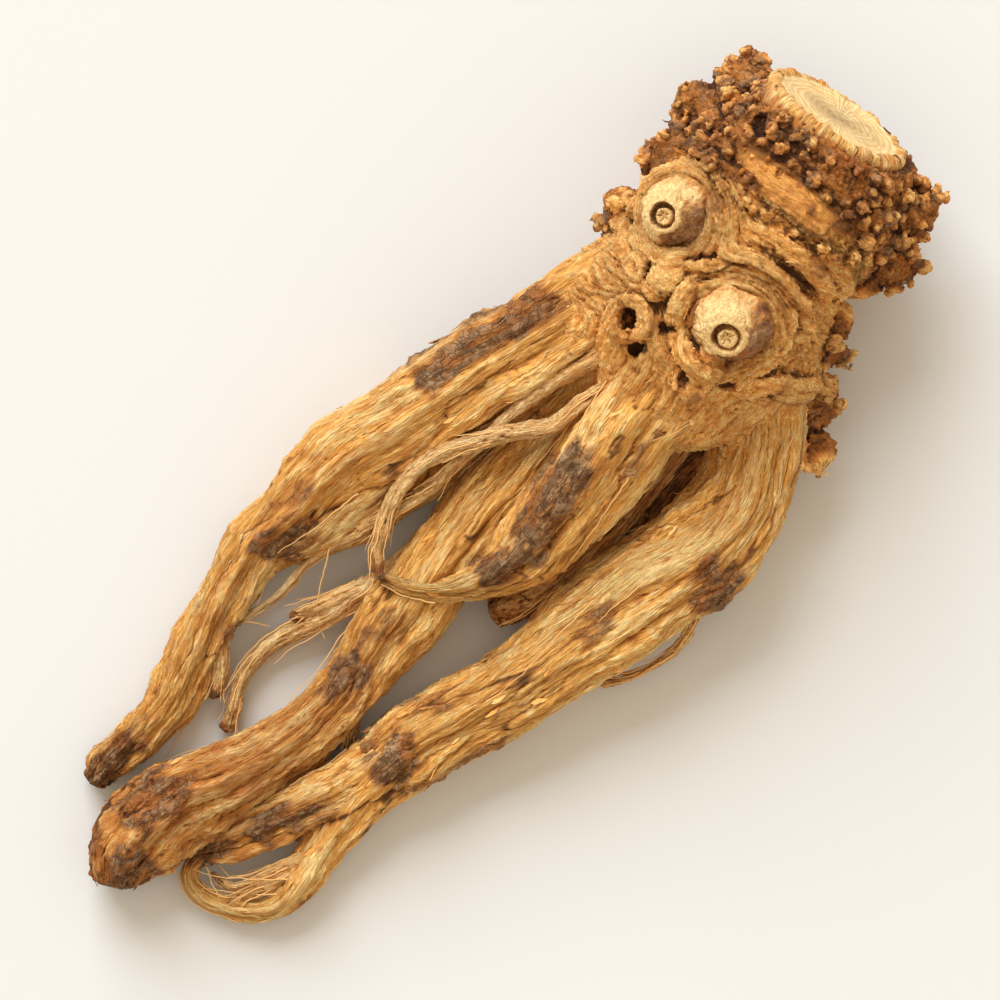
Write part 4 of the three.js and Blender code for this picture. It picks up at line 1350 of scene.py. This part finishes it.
def thinned(mesh, share):
    """The mesh with a share of its faces, most of them kept where it is crooked."""
    host = bpy.data.objects.new(mesh.name + "_host", mesh)
    bpy.context.collection.objects.link(host)
    host.modifiers.new("Fewer Faces", "DECIMATE").ratio = share
    made = settled(host)
    made.shade_smooth()
    return made


def jitter(w, scale, reach):
    """Offsets from noise by position, in a geometry tree."""
    spot = w.node("GeometryNodeInputPosition")
    sway = w.node("ShaderNodeTexNoise", {"Scale": scale, "Vector": spot}).outputs["Color"]
    centred = w.node("ShaderNodeVectorMath", {0: sway, 1: (0.5, 0.5, 0.5)}, operation="SUBTRACT")
    return w.node("ShaderNodeVectorMath", {0: centred, "Scale": reach}, operation="SCALE")


def crumb_tree():
    """Small crumbs of bark over the knobbly parts of a surface."""
    tree, w, inputs = tree_with(
        "Bark crumbs", Spacing=0.0008, Density=1500000.0, Smallest=0.00012, Largest=0.0004, Seed=5, Material=None
    )
    knobbly = w.node("GeometryNodeInputNamedAttribute", {"Name": "knobbly"}, data_type="FLOAT")
    places = {
        "Mesh": inputs["Geometry"],
        "Distance Min": inputs["Spacing"],
        "Density Max": inputs["Density"],
        "Density Factor": knobbly.outputs["Attribute"],
        "Seed": inputs["Seed"],
    }
    spots = w.node("GeometryNodeDistributePointsOnFaces", places, distribute_method="POISSON")
    size = random_value(w, {2: inputs["Smallest"], 3: inputs["Largest"]}, inputs)
    any_turn = random_value(w, {1: (6.28, 6.28, 6.28)}, inputs, "FLOAT_VECTOR")
    crumb = w.node("GeometryNodeMeshIcoSphere", {"Radius": 1.0, "Subdivisions": 2})
    crooked = scattered(w, spots, crumb, any_turn, size, 2200.0, 0.0009)
    finish_tree(w, w.node("GeometryNodeSetShadeSmooth", {"Geometry": crooked}), inputs)
    return tree


def sliver_tree():
    """Loose slivers of bark that lie along the fibres and lift at one end."""
    tree, w, inputs = tree_with(
        "Loose bark slivers", Density=100000.0, Shortest=0.0009, Longest=0.0024, Lift=0.1, Seed=9, Material=None
    )
    places = {"Mesh": inputs["Geometry"], "Density": inputs["Density"], "Seed": inputs["Seed"]}
    spots = w.node("GeometryNodeDistributePointsOnFaces", places, distribute_method="RANDOM")
    flow = w.node("GeometryNodeInputNamedAttribute", {"Name": "flow"}, data_type="FLOAT_VECTOR")
    align = "FunctionNodeAlignRotationToVector"
    upright = w.node(align, {"Vector": spots.outputs["Normal"]}, axis="Z")
    along = {"Rotation": upright, "Vector": flow.outputs["Attribute"]}
    along = w.node(align, along, axis="X", pivot_axis="Z")
    tilt = random_value(w, {0: (-0.6, -0.12, -0.35), 1: (0.6, 0.08, 0.35)}, inputs, "FLOAT_VECTOR")
    tilt = w.node("FunctionNodeEulerToRotation", {0: tilt})
    tilted = {"Rotation": along, "Rotate By": tilt}
    tilted = w.node("FunctionNodeRotateRotation", tilted, rotation_space="LOCAL")

    strip = {"Size X": 1.0, "Size Y": 0.24, "Vertices X": 5, "Vertices Y": 2}
    strip = w.node("GeometryNodeMeshGrid", strip).outputs["Mesh"]
    place = w.node("ShaderNodeSeparateXYZ", {0: w.node("GeometryNodeInputPosition")}).outputs
    x, y = Value(w, place[0]), Value(w, place[1])
    curl = w.math("POWER", x + 0.5, 2.0) * inputs["Lift"]
    bent = w.node("ShaderNodeCombineXYZ", {0: x + 0.4, 1: y * (1.0 - x * x * 3.4), 2: curl})
    shaped = w.node("GeometryNodeSetPosition", {"Geometry": strip, "Position": bent})
    thick = {"Offset Scale": 0.05, "Individual": False, "Mesh": shaped}
    thick = w.node("GeometryNodeExtrudeMesh", thick, mode="FACES")
    closed = w.node("GeometryNodeJoinGeometry", {0: thick.outputs["Mesh"]})
    w.put(closed.inputs[0], w.node("GeometryNodeFlipFaces", {0: shaped}))
    merged = w.node("GeometryNodeMergeByDistance", {"Distance": 0.0005, 0: closed})
    size = random_value(w, {2: inputs["Shortest"], 3: inputs["Longest"]}, inputs)
    finish_tree(w, scattered(w, spots, merged, tilted, size, 1500.0, 0.0007), inputs)
    return tree


def hair_tree():
    """Thin tapering fibres along curves."""
    tree, w, inputs = tree_with("Fibres along curves", Radius=0.00012, Step=0.0006, Wander=0.0008, Material=None)
    even = {"Curve": inputs["Geometry"], "Length": inputs["Step"]}
    even = w.node("GeometryNodeResampleCurve", even, mode="LENGTH")
    moved = {"Geometry": even, "Offset": jitter(w, 500.0, inputs["Wander"])}
    moved = w.node("GeometryNodeSetPosition", moved)
    share = Value(w, w.node("GeometryNodeSplineParameter").outputs["Factor"])
    ring = w.node("GeometryNodeCurvePrimitiveCircle", {"Resolution": 5, "Radius": 1.0})
    size = (1.0 - share * 0.65) * inputs["Radius"]
    tube = {"Curve": moved, "Profile Curve": ring, "Scale": size, "Fill Caps": True}
    tube = w.node("GeometryNodeCurveToMesh", tube)
    finish_tree(w, w.node("GeometryNodeSetShadeSmooth", {"Geometry": tube}), inputs)
    return tree


# Settings, operators and panel

def length(name, description, value):
    return bpy.props.FloatProperty(name=name, description=description, default=value, unit="LENGTH")


def tone(name, description, value):
    return bpy.props.FloatVectorProperty(
        name=name, description=description, default=value, subtype="COLOR_GAMMA", size=3, min=0, max=1
    )


class AngelicaRootSettings(bpy.types.PropertyGroup):
    """Sizes and colours of the dried root."""

    relief: bpy.props.FloatProperty(
        name="Wrinkle Depth", description="How deep the wrinkles of the roots are", default=1.0, min=0.0, max=2.0
    )
    grid_across: length("Grid Across", "Spacing of a root's mesh round it", 0.00021)
    grid_along: length("Grid Along", "Spacing of a root's mesh along it", 0.00037)
    crumb_spacing: length("Crumb Spacing", "Least distance between two crumbs of bark", 0.001)
    sliver_density: bpy.props.FloatProperty(
        name="Sliver Density", description="Loose slivers to a square metre of bark", default=90000.0
    )
    hair_radius: length("Hair Radius", "Radius of the finest root hairs", 0.00012)
    gold: tone("Gold", "Main colour of the bark", (0.98, 0.73, 0.37))
    straw: tone("Straw", "Colour of worn ridges", (1.0, 0.87, 0.58))
    brown: tone("Brown", "Colour of streaks and stains", (0.75, 0.46, 0.17))
    rust: tone("Rust", "Colour round the patches of outer bark", (0.66, 0.37, 0.15))
    outer_bark: tone("Outer Bark", "Colour of old outer bark", (0.3, 0.21, 0.15))
    lichen: tone("Worn Outer Bark", "Paler colour of old outer bark", (0.62, 0.51, 0.38))
    # Crevice is both the dark of cracks in old bark and the colour of the painted shade in furrows and crevices.
    crevice: tone("Crevice", "Colour deep in the furrows", (0.2, 0.085, 0.025))
    rootlet_tan: tone("Rootlet Tan", "Main colour of the thin roots", (0.93, 0.73, 0.45))
    rootlet_straw: tone("Rootlet Straw", "Colour of the thin roots' ridges", (1.0, 0.89, 0.65))
    crown_tan: tone("Crown Tan", "Main colour of the crown", (0.98, 0.7, 0.36))
    crown_straw: tone("Crown Straw", "Colour of the crown's ridges", (1.0, 0.83, 0.52))
    cone_tan: tone("Cone Tan", "Darker colour of the cones", (0.9, 0.68, 0.4))
    cone_cream: tone("Cone Cream", "Paler colour of the cones", (0.96, 0.84, 0.58))
    wood_cream: tone("Wood Cream", "Pale wood of the cut stem", (0.98, 0.86, 0.62))
    wood_tan: tone("Wood Tan", "Growth rings of the cut stem", (0.92, 0.7, 0.4))
    floor: tone("Floor", "Colour of the surface under the root", (0.872, 0.872, 0.855))
    camera_distance: length("Camera Distance", "Height of the camera over the root", 1.0)


# The most triangles of the crown, what root_skin is given for the folds of stout and thin roots, the rootlets'
# share of the wrinkle depth, and the spacing of their mesh round and along them in millimetres.
CROWN_TRIANGLES = 192000
SKIN_FOLDS = {"stout": (14, 0.13), "thin": (6, 0.05)}
ROOTLET_SCALE = 0.4
ROOTLET_GRID = (0.21, 0.33)

# Where each root turns brown, as a share of its length, how brown its end and the rest are, and how much painted
# shade darkens a root that lies in shadow.
STAINS = {
    "left_upper_fold": (0.84, 0.5, 0.3, 0),
    "left_lower_fold": (0.8, 0.5, 0.3, 0.1),
    "middle": (0.38, 0.7, 0.1, 0.05),
    "short_upper": (0.86, 0.35, 0.0, 0),
    "right_fork_pointed": (0.35, 0.5, 0.15, 0),
    # deep_in_gap lies in the shadowed gap between the roots: its brown, as well as its last value, is painted
    # shade.
    "deep_in_gap": (0, 0.9, 0.9, 0.75),
    "under_gap": (0.1, 0.7, 0.5, 0.3),
}
PLAIN_STAIN = (0.9, 0.3, 0.1, 0)

# The stage: half the floor's side, its height just under the table, the fill light, and the lamp's place from
# the middle of the root on the plan, in metres, with its side and its power in watts.
FLOOR_REACH = 4.0
FLOOR_HEIGHT = -2e-5
WORLD_COLOUR = (1.0, 0.86, 0.69, 1)
WORLD_STRENGTH = 0.8
LAMP_PLACE = (-1.15, 3.2, 2.35)
LAMP_SIZE = 3.0
LAMP_POWER = 226.0
LAMP_COLOUR = (0.82, 0.89, 1.0)

# The camera's sensor in millimetres, and what it sees of the plan in metres.
SENSOR_WIDTH = 36
VIEW_WIDTH = 0.125


def fibre_curves(name, routes):
    """A curve object's data with one poly line for each route on the plan."""
    curve = bpy.data.curves.new(name, "CURVE")
    curve.dimensions = "3D"
    for row in routes:
        route = to_model(spread(np.array(row), np.linspace(0, 1, 12)))
        spline = curve.splines.new("POLY")
        spline.points.add(len(route) - 1)
        spline.points.foreach_set("co", np.column_stack([route, np.ones(len(route))]).ravel())
    return curve


def frayed(rows, count, lift, rng):
    """Routes of fibres that lie on a root and come off it at their ends."""
    path = Path(rows)
    routes = []
    for _ in range(count):
        start = rng.uniform(0.02, 0.85)
        reach = rng.uniform(5, 14) / path.length
        t = np.linspace(start, min(1, start + reach), 6)
        centre, forward, side, top, width, tall = path.at(t)
        angle = rng.uniform(-2.2, 2.2) + np.linspace(0, rng.uniform(-0.6, 0.6), 6)
        away = side * (width * np.sin(angle))[:, None] + top * (tall * np.cos(angle))[:, None]
        off = away / np.linalg.norm(away, axis=1, keepdims=True) * (np.linspace(0, 1, 6) ** 2)[:, None]
        route = centre + away + off * lift * rng.uniform(0.3, 1)
        route[:, 2] = np.maximum(route[:, 2], 0.25)
        routes.append(route)
    return routes


def tangle(rows, count, rng):
    """Routes of fibres that cross the loop of a curled root."""
    path = Path(rows)
    routes = []
    for _ in range(count):
        t = np.array([rng.uniform(0.4, 0.72), rng.uniform(0.8, 1)])
        centre, _, _, top, _, tall = path.at(t)
        ends = centre + top * tall[:, None] * 0.6
        middle = ends.mean(axis=0) + rng.normal(0, 1.3, 3) * [1, 1, 0.3]
        bends = [(end + 2 * middle) / 3 for end in ends]
        routes.append(np.maximum([ends[0], *bends, ends[1]], [-99, -99, 0.3]))
    return routes


class AddCrown(bpy.types.Operator):
    """Builds the crown with its collar, knobs and crumbs of bark"""

    bl_idname = "angelica_root.crown"
    bl_label = "Crown"

    def execute(self, context):
        settings = context.scene.angelica_root
        points, quads, values = crown_skin()
        material = named_material("Crown bark")
        fine = make_mesh("crown_fine", points, quads, **values)
        mesh = thinned(fine, min(1, CROWN_TRIANGLES / (2 * len(quads))))
        mesh.name = "crown"
        place("crown", mesh, material, BARK_SLOT)
        values = {"Spacing": settings.crumb_spacing, "Material": material}
        crumbs = run_tree("crumbs", crumb_tree(), mesh.copy(), values)
        place("crumbs", crumbs, material, BARK_SLOT)
        return {"FINISHED"}


class AddStem(bpy.types.Operator):
    """Builds the cut stem stub and the cone scars"""

    bl_idname = "angelica_root.stem"
    bl_label = "Cut Stem and Cones"

    def execute(self, context):
        points, quads, triangles, values = stem_stub()
        mesh = make_mesh("stem_stub", points, quads, triangles, **values)
        place("stem_stub", mesh, stem_material(), CUT_SLOT)
        cones = [cone_skin(*cone, phase) for phase, cone in enumerate(CONES)]
        points, quads, triangles, values = join(cones)
        mesh = make_mesh("cone_scars", points, quads, triangles, **values)
        place("cone_scars", mesh, named_material("Cone scar"), BARK_SLOT)
        return {"FINISHED"}


class AddStoutRoots(bpy.types.Operator):
    """Builds the stout wrinkled roots"""

    bl_idname = "angelica_root.stout_roots"
    bl_label = "Stout Roots"

    def execute(self, context):
        settings = context.scene.angelica_root
        grid = (settings.grid_across * 1000, settings.grid_along * 1000)
        for i, (name, rows) in enumerate(STOUT_ROOTS.items()):
            look = (settings.relief, *grid, STAINS.get(name, PLAIN_STAIN))
            skin = root_skin(rows, *SKIN_FOLDS["stout"], 1 + 1.3 * i, *look)
            points, quads, triangles, values = skin
            mesh = make_mesh("root_" + name, points, quads, triangles, **values)
            place("root_" + name, mesh, named_material("Wrinkled root bark"), BARK_SLOT)
        return {"FINISHED"}


class AddRootlets(bpy.types.Operator):
    """Builds the thin rootlets and strands, and the finest hairs"""

    bl_idname = "angelica_root.rootlets"
    bl_label = "Rootlets and Hairs"

    def execute(self, context):
        settings = context.scene.angelica_root
        material = named_material("Rootlet bark")
        scale = ROOTLET_SCALE * settings.relief
        skins = [
            root_skin(rows, *SKIN_FOLDS["thin"], i, scale, *ROOTLET_GRID, STAINS.get(name, PLAIN_STAIN))
            for i, (name, rows) in enumerate(THIN_ROOTS.items())
        ]
        points, quads, triangles, values = join(skins)
        mesh = make_mesh("rootlets", points, quads, triangles, **values)
        place("rootlets", mesh, material, BARK_SLOT)
        rng = np.random.RandomState(11)
        routes = list(HAIRS) + tangle(STOUT_ROOTS["right_fork_curled"], 3, rng)
        for name, rows in {**THIN_ROOTS, **STOUT_ROOTS}.items():
            stout = name in STOUT_ROOTS
            routes += frayed(rows, 4 if stout else 9, 0.7 if stout else 1.3, rng)
        material, w, shader = new_material("Root hair")
        w.fill(shader, {"Base Color": colour(settings.rootlet_tan), "Roughness": 0.8})
        values = {"Radius": settings.hair_radius, "Material": material}
        hairs = run_tree("hairs", hair_tree(), fibre_curves("hair_paths", routes), values)
        place("hairs", hairs, material, BARK_SLOT)
        return {"FINISHED"}


class AddLooseBark(bpy.types.Operator):
    """Scatters loose slivers of bark over the crown and the stout roots"""

    bl_idname = "angelica_root.loose_bark"
    bl_label = "Loose Bark"

    def execute(self, context):
        settings = context.scene.angelica_root
        tree = sliver_tree()
        hosts = ["crown"] + ["root_" + name for name in STOUT_ROOTS]
        for seed, name in enumerate(hosts):
            host = bpy.data.objects.get(name)
            if host is None:
                raise RuntimeError(f"{name} has to be built before its loose bark")
            share = 0.8 if name == "crown" else 0.35
            sizes = (0.0006, 0.0015) if name == "crown" else (0.0008, 0.0022)
            values = {"Density": share * settings.sliver_density, "Shortest": sizes[0], "Longest": sizes[1]}
            values.update({"Seed": seed, "Material": host.data.materials[0]})
            slivers = run_tree("slivers_" + name, tree, host.data.copy(), values)
            place("slivers_" + name, slivers, host.data.materials[0], BARK_SLOT)
        return {"FINISHED"}


class AddStage(bpy.types.Operator):
    """Lays the floor and sets up the light and the camera"""

    bl_idname = "angelica_root.stage"
    bl_label = "Floor, Light and Camera"

    def execute(self, context):
        settings = context.scene.angelica_root
        mesh = bpy.data.meshes.new("floor")
        signs = ((-1, -1), (1, -1), (1, 1), (-1, 1))
        corners = [(x * FLOOR_REACH, y * FLOOR_REACH, FLOOR_HEIGHT) for x, y in signs]
        mesh.from_pydata(corners, [], [(0, 1, 2, 3)])
        material, w, shader = new_material("Pale floor")
        w.fill(shader, {"Base Color": colour(settings.floor), "Roughness": 0.9, "Specular IOR Level": 0.1})
        mesh.materials.append(material)
        floor = bpy.data.objects.new("floor", mesh)
        context.collection.objects.link(floor)

        world = bpy.data.worlds.new("Soft studio")
        world.use_nodes = True
        sky = {"Color": WORLD_COLOUR, "Strength": WORLD_STRENGTH}
        Wiring(world.node_tree).fill(world.node_tree.nodes["Background"], sky)
        context.scene.world = world

        centre = np.array([*PLAN_SHIFT, 15]) / 1000
        self.lamp(context, "key_light", LAMP_PLACE, LAMP_SIZE, LAMP_POWER, centre)

        data = bpy.data.cameras.new("camera")
        data.sensor_width = SENSOR_WIDTH
        data.lens = SENSOR_WIDTH * settings.camera_distance / VIEW_WIDTH
        data.clip_start, data.clip_end = 0.05, 20
        camera = bpy.data.objects.new("camera", data)
        context.collection.objects.link(camera)
        camera.location = (centre[0], centre[1], centre[2] + settings.camera_distance)
        camera.rotation_euler = (0, 0, PLAN_TURN)
        context.scene.camera = camera
        context.scene.view_settings.view_transform = "Standard"
        return {"FINISHED"}

    def lamp(self, context, name, plan_place, size, power, centre):
        """A soft square light, placed by the plan's directions from the middle of the root, in metres."""
        c, s = math.cos(PLAN_TURN), math.sin(PLAN_TURN)
        x, y, z = plan_place
        data = bpy.data.lights.new(name, "AREA")
        data.size = size
        data.energy = power
        data.color = LAMP_COLOUR
        light = bpy.data.objects.new(name, data)
        context.collection.objects.link(light)
        light.location = (x * c - y * s + centre[0], x * s + y * c + centre[1], z)
        aim = Vector(centre) - light.location
        light.rotation_euler = aim.to_track_quat("-Z", "Y").to_euler()


class AngelicaRootPanel(bpy.types.Panel):
    """Lists the settings and the operators"""

    bl_idname = "VIEW3D_PT_angelica_root"
    bl_label = "Angelica Root"
    bl_space_type = "VIEW_3D"
    bl_region_type = "UI"
    bl_category = "Angelica Root"

    def draw(self, context):
        settings = context.scene.angelica_root
        for key in AngelicaRootSettings.__annotations__:
            self.layout.prop(settings, key)
        for operator in OPERATORS:
            self.layout.operator(operator.bl_idname)


OPERATORS = (AddCrown, AddStem, AddStoutRoots, AddRootlets, AddLooseBark, AddStage)
CLASSES = (AngelicaRootSettings, *OPERATORS, AngelicaRootPanel)


def register():
    for kind in CLASSES:
        bpy.utils.register_class(kind)
    bpy.types.Scene.angelica_root = bpy.props.PointerProperty(type=AngelicaRootSettings)


def unregister():
    del bpy.types.Scene.angelica_root
    for kind in reversed(CLASSES):
        bpy.utils.unregister_class(kind)


def main():
    register()
    bpy.ops.angelica_root.crown()
    bpy.ops.angelica_root.stem()
    bpy.ops.angelica_root.stout_roots()
    bpy.ops.angelica_root.rootlets()
    bpy.ops.angelica_root.loose_bark()
    bpy.ops.angelica_root.stage()


if __name__ == "__main__":
    main()
